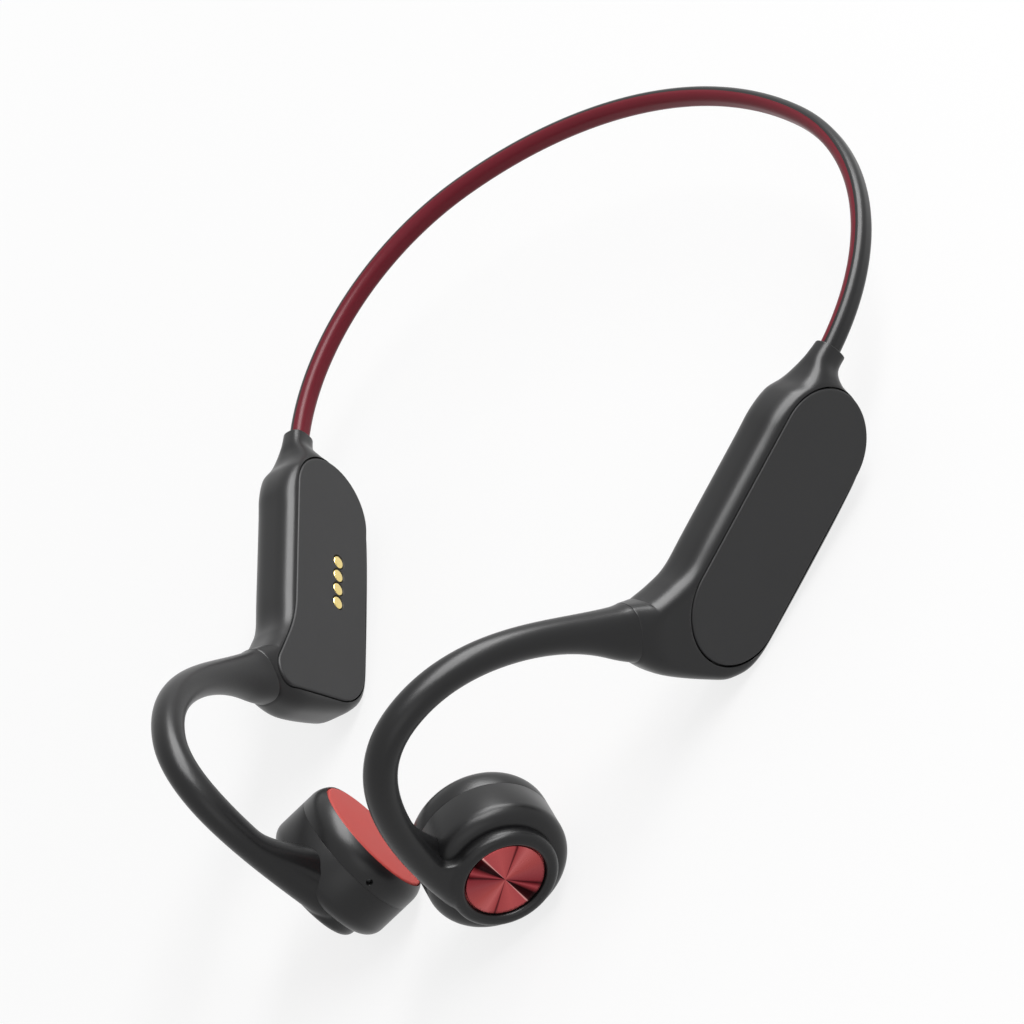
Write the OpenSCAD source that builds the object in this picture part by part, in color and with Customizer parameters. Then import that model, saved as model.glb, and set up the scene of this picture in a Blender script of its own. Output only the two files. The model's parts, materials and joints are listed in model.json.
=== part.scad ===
// Bone conduction headphones: a sprung neck band, two pods, two ear hooks and two bone drivers.
// The set is drawn as it is worn: +X is the wearer's left, -Y is forward, +Z is up, and the
// band's centreline lies in the plane z = 0. stand() then sets it down on a table.
// The left side is drawn, and the right side is its mirror image.

/* [Band] */
// Half the width of the band's centreline, where it is widest
band_half_w = 53.8; // [51:0.2:57]
// Radius of the band behind the neck
rear_radius = 67; // [60:1:80]
// Radius of the band round each side of the neck
side_radius = 40; // [36:1:44]
// Height of the band's section
band_h = 3.4; // [3.2:0.1:3.6]
// Thickness of the band's section
band_t = 2.6; // [2.4:0.1:2.8]
// Thickness of the charcoal outer cover, from the split to its face
outer_t = 1.2; // [1.1:0.1:1.4]
// Diameter of the sprung wire in the band
wire_d = 1; // [0.7:0.1:1]
// Diameter of the cable that joins the pods
cable_d = 0.9; // [0.7:0.1:1]

/* [Pods] */
// Angle by which each pod turns in towards the face
toe_in = 19; // [14:1:22]
// Depth of the band in the boot
boot_depth = 3.2; // [2.4:0.1:3.6]
// Height of the boot at its mouth
boot_h = 4.8; // [4.6:0.1:5.6]
// Thickness of the boot at its mouth
boot_t = 3.8; // [3.8:0.1:4.6]
// Length of the boot and neck behind the pod
neck_len = 5; // [4.4:0.1:6]
// Length of the outer cover
cover_len = 43; // [40:0.5:47]
// Height of the outer cover
cover_h = 16.6; // [16:0.2:17.6]
// Drop of the covers' middle below the band
cover_drop = 5; // [4:0.2:6]
// Angle by which the covers dip towards the front
cover_tilt = 1.6; // [0:0.2:3]
// Height of the shell above the covers
roof_h = 2; // [1.8:0.1:3]
// Height of the shell below the covers
sill_h = 1.3; // [1.1:0.1:2]
// Thickness of the pod from cover to cover
pod_t = 7.8; // [7.6:0.1:8.8]
// Thickness of each cover
cover_t = 1.2; // [0.9:0.1:1.4]
// Thickness of the seal under the outer cover
seal_t = 0.4; // [0.3:0.1:0.6]
// Width of the ledge that carries the covers
ledge_w = 1.2; // [1:0.1:1.4]

/* [Ear hooks] */
// Diameter of the hook over the ear
hook_d = 4.8; // [4.6:0.1:5.4]
// Diameter of the hook where it meets the cap ring
hook_end_d = 4.2; // [4:0.1:4.6]
// Height of the hook's root at the seam with the pod
root_h = 8.6; // [8:0.1:9.4]
// Thickness of the hook's root
root_t = 6.6; // [6:0.1:7.4]
// Angle at which the hook leaves the pod
root_rise = 44; // [40:1:48]
// Height of the hook's crest above the band
crest_h = 30; // [27:0.5:34]
// Outward bulge of the hook at its crest
crest_bulge = 1.9; // [0.5:0.1:3]
// Diameter of the lead in the hook
lead_d = 1; // [0.8:0.1:1.2]

/* [Drivers] */
// Distance between the centres of the two pads
pad_gap = 19.2; // [18:0.2:26]
// Distance of the pads in front of the boots
driver_forward = 72.5; // [69:0.5:76]
// Drop of the drums' axes below the band
driver_drop = 1.3; // [0:0.1:3]
// Angle by which the pads turn to face backwards
face_turn = 45; // [40:1:50]
// Diameter of each drum
drum_d = 21; // [20:0.2:22]
// Length of each drum from its pad to its end wall
drum_len = 11.2; // [10.8:0.1:12]
// Length of the front housing, up to the seam
front_len = 4.2; // [3.6:0.1:5]
// Radius of the drum's outer shoulder
shoulder_r = 2.4; // [1.6:0.1:2.6]
// Diameter of the contact pad
pad_d = 18.8; // [17.6:0.2:18.8]
// Thickness of the contact pad
pad_t = 1.2; // [1:0.1:1.4]
// Diameter of the cap ring on the hook's end
cap_d = 16; // [15.6:0.1:16.4]
// Height of the cap ring
cap_h = 2.1; // [2.1:0.1:2.6]
// Wall of the drum
drum_wall = 1.2; // [1:0.1:1.3]
// Diameter of the driver's magnet
magnet_d = 9.2; // [8:0.2:9.6]
// Thickness of the driver's magnet
magnet_t = 2.8; // [2.4:0.1:3]
// Wall and base of the steel yoke
yoke_t = 1.4; // [1.2:0.1:1.6]
// Radial thickness of the voice coil
coil_t = 1.2; // [0.8:0.1:1.3]

/* [Controls] */
// Diameter of the red discs
disc_d = 11.6; // [11:0.1:12]
// Number of bright cuts round each red disc
disc_cuts = 16; // [12:2:24]
// Depth of the cuts
cut_depth = 0.2; // [0.1:0.05:0.5]
// Travel of every button
press_travel = 0.4; // [0.2:0.05:0.5]
// Length of each volume button
volume_len = 6; // [5:0.2:7]
// Width of each volume button
volume_w = 2.4; // [2:0.1:2.8]
// Distance between the middles of the volume buttons
volume_pitch = 10; // [9:0.2:12]
// Number of charging contacts
contact_count = 4; // [2:1:4]
// Diameter of each charging contact
contact_d = 2.2; // [1.6:0.1:2.2]
// Distance between neighbouring contacts
contact_pitch = 2.6; // [2.4:0.1:3]
// Length of the covers less that of the battery cell or the main board, which leaves room for leads
cell_room = 13; // [12:1:16]
// Height of the battery cell
battery_h = 12; // [11:0.2:12.6]
// Thickness of the battery cell
battery_t = 4.4; // [3.6:0.1:4.8]
// Height of the main board
board_h = 9.6; // [9:0.2:10]

/* [Fits] */
// Gap round each cover, seen as a dark line
seam_gap = 0.2; // [0.1:0.05:0.3]
// Gap round each moving button
slide_gap = 0.2; // [0.15:0.05:0.3]
// Gap round the band, wires and contacts in their bores
bore_gap = 0.1; // [0.05:0.05:0.15]

/* [Hidden] */
$fn = 64;

CHARCOAL = "#3b3b3d";
MATTE = "#333335";
RED = "#8d3640";
CORAL = "#c8585a";
GOLD = "#d9c07c";
STEEL = "#9a9da0";
COPPER = "#b06a3c";
BOARD_GREEN = "#2c5a3c";
FOIL = "#b9bcc0";

// The band's centreline is a three-centred arch: one arc behind the neck and one round each side.
side_cx = band_half_w - side_radius;
arch_drop = sqrt(pow(rear_radius - side_radius, 2) - pow(side_cx, 2));
join_angle = atan2(side_cx, arch_drop);
side_cy = side_radius * sin(toe_in) - boot_depth * cos(toe_in);
rear_cy = side_cy - arch_drop;
wire_z = -wire_d / 2 - 0.15;
cable_z = cable_d / 2 + 0.25;

// The pod's own frame: s runs forward from the boot's mouth, o outward and z up.
pod_x = side_cx + side_radius * cos(toe_in) + boot_depth * sin(toe_in);
pod_y = side_cy - side_radius * sin(toe_in) + boot_depth * cos(toe_in);
pod_half = pod_t / 2;
// The band still bends within the boot, which needs more room there.
boot_gap = bore_gap + boot_depth * boot_depth / (2 * side_radius);
cover_r = cover_h / 2;
cover_rear = neck_len - 0.5;
cover_front = cover_rear + cover_len;
cover_sa = cover_rear + cover_r;
cover_sb = cover_front - cover_r;
cover_z = -cover_drop;
mid_s = (cover_sa + cover_sb) / 2;
pocket_r = cover_r - ledge_w;
top_z = cover_z + cover_r + roof_h;
low_z = cover_z - cover_r - sill_h;
inner_face = cover_t - pod_half;
outer_ledge = pod_half - cover_t - seal_t;

// The root of the hook, where the pod's front end stops
root_s = cover_front + 3.65;
root_z = cover_z + cover_r + 3.5;
root_up = [-sin(root_rise), cos(root_rise)] * root_h / 2;
root_top = [root_s, root_z] + root_up;
root_low = [root_s, root_z] - root_up;

// The covers have their own frame, from their middle. The inner cover reaches further forward,
// and its nose goes up towards the hook's root.
inner_reach = 1.2;
inner_c = cover_len / 2 - cover_r + inner_reach;
nose_r = 3;
nose = [cover_len / 2 + 1.4, cover_r + 0.7];

// Sections of the pod from boot to root: the top's s and z, the bottom's s and z, half the
// thickness before the flat faces are cut, and how square the section is.
slab = pod_half + 0.5;
function top(s) = top_z - (s - mid_s) * tan(cover_tilt);
function low(s) = low_z - (s - mid_s) * tan(cover_tilt);
corner_s = cover_sb + 3.9;
corner_z = low(corner_s) + 0.5;
pod_sections = [
    [0, boot_h / 2, 0, -boot_h / 2, boot_t / 2, 2.6],
    [neck_len / 2, boot_h / 2 + 0.25, neck_len / 2 - 0.2, -boot_h / 2 - 0.1, boot_t / 2 + 0.1, 2.6],
    [neck_len - 0.2, boot_h / 2 + 0.35, cover_rear - 0.8, -boot_h / 2 - 1.4, slab * 0.75, 2.8],
    [neck_len + 2.2, top_z - 2, cover_rear - 0.35, cover_z - 1.75, slab, 3.6],
    [neck_len + 5, top_z - 0.5, cover_rear + 1.35, low_z + 4.55, slab, 4.2],
    [cover_sa + 1, top(cover_sa + 1), cover_sa - 2, low(cover_sa) + 0.75, slab, 4.6],
    [cover_sa + 6, top(cover_sa + 6), cover_sa + 5, low(cover_sa + 5), slab, 5],
    [cover_sb - 6, top(cover_sb - 6), cover_sb - 4, low(cover_sb - 4), slab, 5],
    [cover_sb, top(cover_sb), corner_s, corner_z, slab, 5],
    [cover_sb + 3.6, top(cover_sb) + 0.95, cover_front - 0.35, low_z + 2.25, slab, 4.6],
    [cover_sb + 6.8, top(cover_sb) + 2.35, cover_front + 1.95, cover_z - 3.95, slab, 4],
    [root_top[0] - 1.65, root_top[1] - 2, root_low[0] - 1.1, root_low[1] - 5.25, slab * 0.94, 3.2],
    [root_top[0], root_top[1], root_low[0], root_low[1], root_t / 2, 2.5]
];
section_steps = 2;
section_points = 32;

// The drum's own frame: its z runs outward from the pad's face, along the drum's axis.
drum_r = drum_d / 2;
pad_r = pad_d / 2;
drum_bore = drum_r - drum_wall;
lip_w = drum_r - pad_r - 2 * bore_gap;
lip_len = 3;
pad_proud = 0.3;
pad_c = [pad_gap / 2, pod_y - driver_forward, -driver_drop];
drum_axis = [cos(face_turn), -sin(face_turn), 0];
drum_side = [-sin(face_turn), -cos(face_turn), 0];
seat_r = drum_bore - 1;
cap_r = cap_d / 2;
disc_r = disc_d / 2;
cap_bore = disc_r + slide_gap;
flange_r = cap_bore + 0.6;
flange_t = 0.3;
flange_z = drum_len + press_travel + 0.1;
cap_ledge = flange_z + flange_t + 0.1;
disc_z = drum_len + cap_h - 0.3;
plate_t = 0.4;
plate_r = pad_r - 1.2 - bore_gap;
coil_r = magnet_d / 2 + 0.4;
yoke_r = seat_r + 0.3;
yoke_z = drum_len - 4;
switch_r = 2.6;
boss_r = switch_r + 1.4;
switch_z = drum_len - 1.2;

// The hook's path: one curve from the root to the crest and one from the crest to the cap ring.
arm_r = cap_r - hook_end_d / 2 + 0.4;
arm_z = drum_len + cap_h - hook_end_d / 2 - 0.4;
hook_root = pod_point(root_s, root_z);
arm_drop = 1;
arm_end = pad_c + drum_axis * arm_z + drum_side * arm_r - [0, 0, arm_drop];
span = arm_end - hook_root;
run = [span[0], span[1], 0] / norm([span[0], span[1]]);
across = [-run[1], run[0], 0];
crest_share = 0.64;
crest = [
    hook_root[0] + span[0] * crest_share + across[0] * crest_bulge,
    hook_root[1] + span[1] * crest_share + across[1] * crest_bulge,
    crest_h
];
pod_out = [cos(toe_in), -sin(toe_in), 0];
root_dir = [-sin(toe_in) * cos(root_rise), -cos(toe_in) * cos(root_rise), sin(root_rise)];
root_pull = 2;
crest_pull = 16;
fall_pull = 8;
arm_pull = 25;
rise_curve = [hook_root, hook_root + root_dir * root_pull, crest - run * crest_pull, crest];
fall_curve = [crest, crest + run * fall_pull, arm_end + [0, 0, arm_pull], arm_end];
hook_steps = 14;
hook_points = 20;
root_taper = 0.7;
end_taper = 0.6;
// The lead goes on from the hook's root into the pod's hollow, through a bore that runs on past it.
lead_run = 11;
// Towards the drum it rises from the hook's middle, to pass over the drum's end wall.
lead_z = (drum_len + arm_z + hook_end_d / 2) / 2;
lead_rise = [1.45, 1.8];
lead_stop = 1.905;
root_bore = 14;
// The web in the notch between the arm and the cap ring
web_r = 2.6;
web_edge = arm_r - hook_end_d / 2;
web_c = [-sqrt(pow(cap_r + web_r, 2) - pow(web_edge - web_r, 2)), web_r - web_edge];
web_h = cap_h - 0.6;

// The controls and boards in the right pod, and the cell in the left one, in the covers' frame
battery_len = cover_len - cell_room;
board_len = cover_len - cell_room;
contact_x = 0.6;
contact_y = -1.5;
block_t = 1.4;
block_h = contact_d + 2.4;
block_len = contact_pitch * (contact_count - 1) + contact_d + 2.4;
magnet_hold_d = 4;
board_t = 1;
board_o = inner_face + block_t;
volume_lip = 0.6;
volume_proud = 0.3;
volume_low = -cover_r - sill_h - volume_proud;
switch_low = volume_lip - pocket_r + press_travel + 0.1;

// Point of the left pod's middle plane, in the worn frame
function pod_point(s, z) = [pod_x - s * sin(toe_in), pod_y - s * cos(toe_in), z];
// Power that keeps the sign
function spow(v, p) = sign(v) * pow(abs(v), p);
function unit(v) = v / norm(v);
// Points of an arc from angle a to angle b
function arc(c, r, a, b, n) = [for (i = [0:n]) c + r * [cos(a + (b - a) * i / n), sin(a + (b - a) * i / n)]];
// Smooth curve through the rows of a list, at row i plus t
function row(list, i) = list[max(0, min(len(list) - 1, i))];
function through(list, i, t) =
    let (a = row(list, i - 1), b = row(list, i), c = row(list, i + 1), d = row(list, i + 2))
    b + (c - a) * t / 2 + (a * 2 - b * 5 + c * 4 - d) * t * t / 2 + (b * 3 - a - c * 3 + d) * t * t * t / 2;
function bezier(p, t) =
    p[0] * pow(1 - t, 3) + p[1] * 3 * t * pow(1 - t, 2) + p[2] * 3 * t * t * (1 - t) + p[3] * pow(t, 3);
function bezier_dir(p, t) =
    unit((p[1] - p[0]) * pow(1 - t, 2) + (p[2] - p[1]) * 2 * t * (1 - t) + (p[3] - p[2]) * t * t);
function ease(t) = t * t * (3 - 2 * t);

// Outline of the inner cover: a stadium whose front end is drawn up into a nose
function inner_points(grow) =
    let (c = [inner_c, 0], r = cover_r + grow, t = nose_r + grow)
    let (lean = atan2(nose[1], nose[0] - inner_c), turn = acos((r - t) / norm(nose - c)))
    let (low = lean - turn, high = lean + turn, brow = nose + t * [cos(high), sin(high)])
    concat(
        arc([cover_r - cover_len / 2, 0], r, 90, 270, 24), arc(c, r, 270, 360 + low, 16),
        arc(nose, t, low, high, 12), [[brow[0] - (brow[1] - r) / tan(high - 90), r]]
    );

// One section of the pod, as a ring of points in the pod's frame
function pod_ring(q) = [
    for (k = [0:section_points - 1])
        let (a = 360 * k / section_points)
        let (m = [q[0] + q[2], q[1] + q[3]] / 2, e = [q[0] - q[2], q[1] - q[3]] / 2)
        let (v = spow(sin(a), 2 / q[5]))
        [m[0] + e[0] * v, q[4] * spow(cos(a), 2 / q[5]), m[1] + e[1] * v]
];
pod_rings = [
    for (i = [0:len(pod_sections) - 2], k = [0:section_steps - 1])
        pod_ring(through(pod_sections, i, k / section_steps)),
    pod_ring(pod_sections[len(pod_sections) - 1])
];

// One section of the hook at u, from 0 at the root through 1 at the crest to 2 at the cap ring
function hook_at(u) = u <= 1 ? bezier(rise_curve, u) : bezier(fall_curve, u - 1);
function hook_dir(u) = u <= 1 ? bezier_dir(rise_curve, u) : bezier_dir(fall_curve, u - 1);
function hook_ring(u, half_t, half_h, power) =
    let (p = hook_at(u), d = hook_dir(u), w = pod_out * (2 - u) + drum_axis * u)
    let (side = unit(w - d * (w * d)), up = cross(d, side))
    [
        for (k = [0:hook_points - 1])
            let (a = 360 * k / hook_points)
            p + side * half_t * spow(cos(a), 2 / power) + up * half_h * spow(sin(a), 2 / power)
    ];
hook_us = [for (i = [0:2 * hook_steps]) i / hook_steps];
function taper(u) = pow(max(0, 1 - u / root_taper), 2);
function thinning(u) = ease(max(0, (u - 2 + end_taper) / end_taper));
function hook_half(u, root) = (hook_d + (root - hook_d) * taper(u) + (hook_end_d - hook_d) * thinning(u)) / 2;
hook_rings = [for (u = hook_us) hook_ring(u, hook_half(u, root_t), hook_half(u, root_h), 2 + taper(u) / 2)];
function lead_lift(u) =
    (lead_z - arm_z) * ease(max(0, min(1, (u - lead_rise[0]) / (lead_rise[1] - lead_rise[0]))));
function lead_ring(u, r) = [for (p = hook_ring(u, r, r, 2)) p + drum_axis * lead_lift(u)];
lead_us = [for (u = hook_us) if (u > 0 && u < lead_stop - 0.02) u, lead_stop];
// Rings of the lead from a distance behind the hook's root to its end
function lead_rings(r, back) = concat(
    [for (d = [-back, bore_gap / 2]) [for (p = lead_ring(0, r)) p + root_dir * d]],
    [for (u = lead_us) lead_ring(u, r)]
);
lead_end = hook_at(lead_stop) + drum_axis * lead_lift(lead_stop) - pad_c;

// Stops along the band from the right boot to the left: the place and the outward direction
band_steps = 12;
side_turn = 90 - join_angle + toe_in;
function arc_stop(c, r, a) = [c + r * [cos(a), sin(a), 0], [cos(a), sin(a), 0]];
function arc_stops(c, r, from, turn, last) =
    [for (i = [0:last]) arc_stop(c, r, from - turn * i / band_steps)];
band_stops = concat(
    arc_stops([-side_cx, side_cy, 0], side_radius, 180 + toe_in, side_turn, band_steps - 1),
    arc_stops([0, rear_cy, 0], rear_radius, 90 + join_angle, 2 * join_angle, band_steps - 1),
    arc_stops([side_cx, side_cy, 0], side_radius, 90 - join_angle, side_turn, band_steps)
);
// The same stops with a straight tail at each end
function tailed(tail) =
    let (a = band_stops[0], b = band_stops[len(band_stops) - 1], d = tail * [sin(toe_in), -cos(toe_in), 0])
    concat([[a[0] + d, a[1]]], band_stops, [[b[0] + [-d[0], d[1], 0], b[1]]]);
// Rings of an outline, whose x is outward and y is up, at each stop
function band_rings(stops, outline) = [for (q = stops) [for (p = outline) q[0] + q[1] * p[0] + [0, 0, p[1]]]];
// Half of the band's section, from the split to a face at distance t, with its grooves
function half_section(t) =
    let (r = band_t / 2, c = t - r, rise = (band_h - band_t) / 2, a = acos(-c / r))
    concat(
        arc([c, -rise], r, -a, 0, 4), arc([c, rise], r, 0, a, 4),
        arc([0, cable_z], (cable_d + bore_gap) / 2, 90, -90, 4),
        arc([0, wire_z], (wire_d + bore_gap) / 2, 90, -90, 4)
    );
function mirrored(outline) = [for (p = outline) [-p[0], p[1]]];
function wire_section(z, d) = arc([0, z], d / 2, 0, 324, 9);

// The set stands on the pods' front corners and on the drums, with its box's middle at the origin.
drum_mid = [pad_c[1] + drum_axis[1] * (drum_len - shoulder_r), pad_c[2]];
stand_pitch = max([
    for (r = pod_rings, p = r)
        let (y = pod_y - p[0] * cos(toe_in) - min(p[1], pod_half) * sin(toe_in))
        atan2(drum_mid[1] - drum_r - p[2], y - drum_mid[0])
]);
lean_c = cos(stand_pitch);
lean_s = sin(stand_pitch);
stand_z = drum_r * norm([lean_c, drum_side[1] * lean_s]) - drum_mid[0] * lean_s - drum_mid[1] * lean_c;
drum_front = drum_mid[0] * lean_c - drum_mid[1] * lean_s - drum_r * norm([lean_s, drum_side[1] * lean_c]);
hook_front = min([for (r = hook_rings, p = r) p[1] * lean_c - p[2] * lean_s]);
band_rear = (rear_cy + rear_radius + outer_t) * lean_c + (band_h - band_t) / 2 * lean_s;
stand_y = -(min(drum_front, hook_front) + band_rear) / 2;

// Faces of a skin over rings of n points, and of the ends that close it
function skin(rings, n, from = 0, flip = false) = [
    for (i = [0:rings - 2], j = [0:n - 1])
        let (a = from + i * n + j, b = from + i * n + (j + 1) % n)
        each flip ? [[a, b, a + n], [b, b + n, a + n]] : [[a, a + n, b], [b, a + n, b + n]]
];
function fan(from, n, flip = false) =
    [for (j = [1:n - 2]) flip ? [from, from + j + 1, from + j] : [from, from + j, from + j + 1]];
// Ends of the band's half section: a strip between its round side and its split side
function strip(from, n, flip = false) = [
    for (i = [0:n / 2 - 2])
        let (a = from + i, b = a + 1, d = from + n - 1 - i, c = d - 1)
        let (t = i < n / 4 - 1 ? [[a, b, d], [b, c, d]] : [[a, b, c], [a, c, d]])
        each flip ? [for (f = t) [f[2], f[1], f[0]]] : t
];

// Closed skin over rings
module loft(rings) {
    n = len(rings[0]);
    m = len(rings);
    polyhedron([for (r = rings) each r], concat(skin(m, n), fan(0, n), fan((m - 1) * n, n, true)), 8);
}

// Half of the band
module loft_half(rings, flip) {
    n = len(rings[0]);
    m = len(rings);
    faces = concat(skin(m, n, 0, flip), strip(0, n, flip), strip((m - 1) * n, n, !flip));
    polyhedron([for (r = rings) each r], faces, 8);
}

// Frames
module stand() translate([0, stand_y, stand_z]) rotate([stand_pitch, 0, 0]) children();
module on_left() stand() children();
module on_right() stand() mirror([1, 0, 0]) children();
module in_pod() translate([pod_x, pod_y, 0]) rotate([0, 0, -90 - toe_in]) children();
module dipped() translate([mid_s, 0, cover_z]) rotate([0, cover_tilt, 0]) children();
module in_covers() in_pod() dipped() children();
module in_drum() translate(pad_c) rotate([0, 0, -face_turn]) rotate([0, 90, 0]) children();
// Extrudes forward along s: the outline's x is o and its y is z.
module along_s(from, to) translate([from, 0, 0]) rotate([90, 0, 90]) linear_extrude(to - from) children();
// Extrudes outward along o: the outline's x is s and its y is z.
module along_o(from, to) translate([0, to, 0]) rotate([90, 0, 0]) linear_extrude(to - from) children();

// Outlines
module slot(len, w) {
    square([len - w, w], center = true);
    for (x = [-1, 1]) translate([x * (len - w) / 2, 0]) circle(d = w);
}
module band_section(grow = 0) {
    translate([outer_t - band_t / 2, 0]) rotate(90) slot(band_h + 2 * grow, band_t + 2 * grow);
}
module cover_outline(grow = 0) slot(cover_len + 2 * grow, cover_h + 2 * grow);
module pocket_outline() cover_outline(-ledge_w);
module inner_outline(grow = 0) polygon(inner_points(grow));

// Band
anchor_len = 3;
cable_tail = anchor_len + 4.4;
module band_core() color(STEEL) stand() loft(band_rings(tailed(anchor_len), wire_section(wire_z, wire_d)));
module band_cable() color(MATTE) stand() loft(band_rings(tailed(cable_tail), wire_section(cable_z, cable_d)));
module band_outer_cover() {
    color(CHARCOAL) stand() loft_half(band_rings(band_stops, half_section(outer_t)), false);
}
module band_inner_strip() {
    color(RED) stand() loft_half(band_rings(band_stops, mirrored(half_section(band_t - outer_t))), true);
}

// Pods
anchor_h = 3;
anchor_w = 2;
module anchor_outline(grow) square([anchor_w + 2 * grow, anchor_h + 2 * grow], center = true);
module pod_shell() {
    in_pod()
        difference() {
            intersection() {
                loft(pod_rings);
                along_s(-1, root_s + root_h) square([pod_t, 4 * cover_h], center = true);
            }
            along_s(-1, boot_depth + bore_gap) band_section(boot_gap);
            along_s(boot_depth, cover_sa) anchor_outline(bore_gap);
            dipped() along_o(-pod_t, pod_t) pocket_outline();
            dipped() along_o(outer_ledge, pod_t) cover_outline(seam_gap);
            dipped() along_o(-pod_t, inner_face) inner_outline(seam_gap);
            translate([root_s, 0, root_z])
                rotate([0, -90 - root_rise, 0])
                    translate([0, 0, -1]) cylinder(d = lead_d + 2 * bore_gap, h = root_bore);
        }
}
module outer_cover() in_covers() along_o(pod_half - cover_t, pod_half) cover_outline();
module inner_cover() in_covers() along_o(-pod_half, inner_face) inner_outline();
module cover_seal() {
    in_covers()
        along_o(outer_ledge, outer_ledge + seal_t)
            difference() {
                cover_outline();
                pocket_outline();
            }
}
module wire_anchor() {
    in_pod()
        along_s(boot_depth + bore_gap, boot_depth + bore_gap + anchor_len)
            difference() {
                anchor_outline(0);
                translate([0, wire_z]) circle(d = wire_d + bore_gap);
                translate([0, cable_z]) circle(d = cable_d + bore_gap);
            }
}

// Ear hooks
module drum_envelope() {
    rotate_extrude()
        polygon(concat(
            [[0, 0], [drum_r, 0]],
            arc([drum_r - shoulder_r, drum_len - shoulder_r], shoulder_r, 0, 90, 8),
            [[0, drum_len]]
        ));
}
module cap_ring() {
    edge_r = min(0.9, (cap_r - cap_bore) * 0.45);
    edge_z = drum_len + cap_h - edge_r;
    rotate_extrude()
        polygon(concat(
            [[flange_r + slide_gap, drum_len], [cap_r, drum_len]],
            arc([cap_r - edge_r, edge_z], edge_r, 0, 90, 6),
            arc([cap_bore + edge_r, edge_z], edge_r, 90, 180, 6),
            [[cap_bore, cap_ledge], [flange_r + slide_gap, cap_ledge]]
        ));
}
module web() {
    translate([0, 0, drum_len])
        linear_extrude(web_h)
            difference() {
                polygon([[web_c[0], -web_edge], [0, -web_edge], web_c * cap_r / (cap_r + web_r)]);
                translate(web_c) circle(web_r);
            }
}
module cap_hollow() {
    translate([0, 0, drum_len]) cylinder(r = flange_r + slide_gap, h = cap_ledge - drum_len);
    translate([0, 0, drum_len]) cylinder(r = cap_bore, h = 3 * cap_h);
}
// The bared lead leaves the hook's arm and goes down through the drum's end wall.
lead_in = 2;
bare_d = lead_d * 0.7;
module lead_hole(grow) {
    translate([-lead_end[2], -lead_end * drum_side, drum_len - lead_in])
        cylinder(d = bare_d + 2 * grow, h = lead_z - 2 * bore_gap - drum_len + lead_in);
}
module ear_hook() {
    difference() {
        union() {
            loft(hook_rings);
            in_drum() cap_ring();
            in_drum() web();
        }
        in_drum() drum_envelope();
        in_drum() cap_hollow();
        in_drum() lead_hole(bore_gap);
        loft(lead_rings(lead_d / 2 + bore_gap, 1));
    }
}
module hook_lead() {
    loft(lead_rings(lead_d / 2, lead_run));
    in_drum() lead_hole(0);
}

// Drivers, from the pad to the end wall
module driver_front() {
    in_drum()
        rotate_extrude()
            polygon(concat(
                [[pad_r + bore_gap, pad_proud]],
                [for (a = [-90:15:0]) [drum_r - lip_w * (1 - cos(a)), pad_proud + lip_len * (1 + sin(a))]],
                [[drum_r, front_len], [drum_bore, front_len], [drum_bore, pad_t + 0.8]],
                [[pad_r - 1.2, pad_t + 0.8], [pad_r - 1.2, pad_t], [pad_r + bore_gap, pad_t]]
            ));
}
module contact_pad() in_drum() cylinder(r = pad_r, h = pad_t);
module spring_plate() in_drum() translate([0, 0, pad_t]) cylinder(r = plate_r, h = plate_t);
module ring(r, wall, from, to) {
    translate([0, 0, from])
        difference() {
            cylinder(r = r + wall, h = to - from);
            translate([0, 0, -1]) cylinder(r = r, h = to - from + 2);
        }
}
coil_len = 2.6;
module voice_coil() in_drum() ring(coil_r, coil_t, pad_t + plate_t, pad_t + plate_t + coil_len);
module magnet() in_drum() translate([0, 0, yoke_z - yoke_t - magnet_t]) cylinder(d = magnet_d, h = magnet_t);
module yoke() {
    in_drum() {
        translate([0, 0, yoke_z - yoke_t]) cylinder(r = yoke_r, h = yoke_t);
        ring(yoke_r - yoke_t, yoke_t, pad_t + 1.4, yoke_z - yoke_t);
    }
}
module driver_housing(switch_well) {
    in_drum()
        difference() {
            rotate_extrude()
                polygon(concat(
                    [[drum_bore, front_len], [drum_r, front_len]],
                    arc([drum_r - shoulder_r, drum_len - shoulder_r], shoulder_r, 0, 90, 8),
                    [[0, drum_len], [0, drum_len - 2], [boss_r, drum_len - 2]],
                    [[boss_r, drum_len - drum_wall], [seat_r, drum_len - drum_wall]],
                    [[seat_r, yoke_z], [drum_bore, yoke_z]]
                ));
            lead_hole(bore_gap);
            if (switch_well) translate([0, 0, switch_z]) cylinder(r = switch_r + bore_gap, h = drum_len);
        }
}
// Red disc whose face is cut into bright and dark facets
module red_disc(from) {
    n = 2 * disc_cuts;
    rim = [for (k = [0:n - 1]) let (a = 360 * k / n) disc_r * [cos(a), sin(a)]];
    points = concat(
        [[0, 0, disc_z - cut_depth], [0, 0, from]],
        [for (k = [0:n - 1]) [rim[k][0], rim[k][1], disc_z - cut_depth * (k % 2)]],
        [for (p = rim) [p[0], p[1], from]]
    );
    faces = [
        for (k = [0:n - 1])
            let (a = 2 + k, b = 2 + (k + 1) % n)
            each [[0, b, a], [1, a + n, b + n], [a, b, a + n], [b, b + n, a + n]]
    ];
    polyhedron(points, faces, 4);
}

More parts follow.
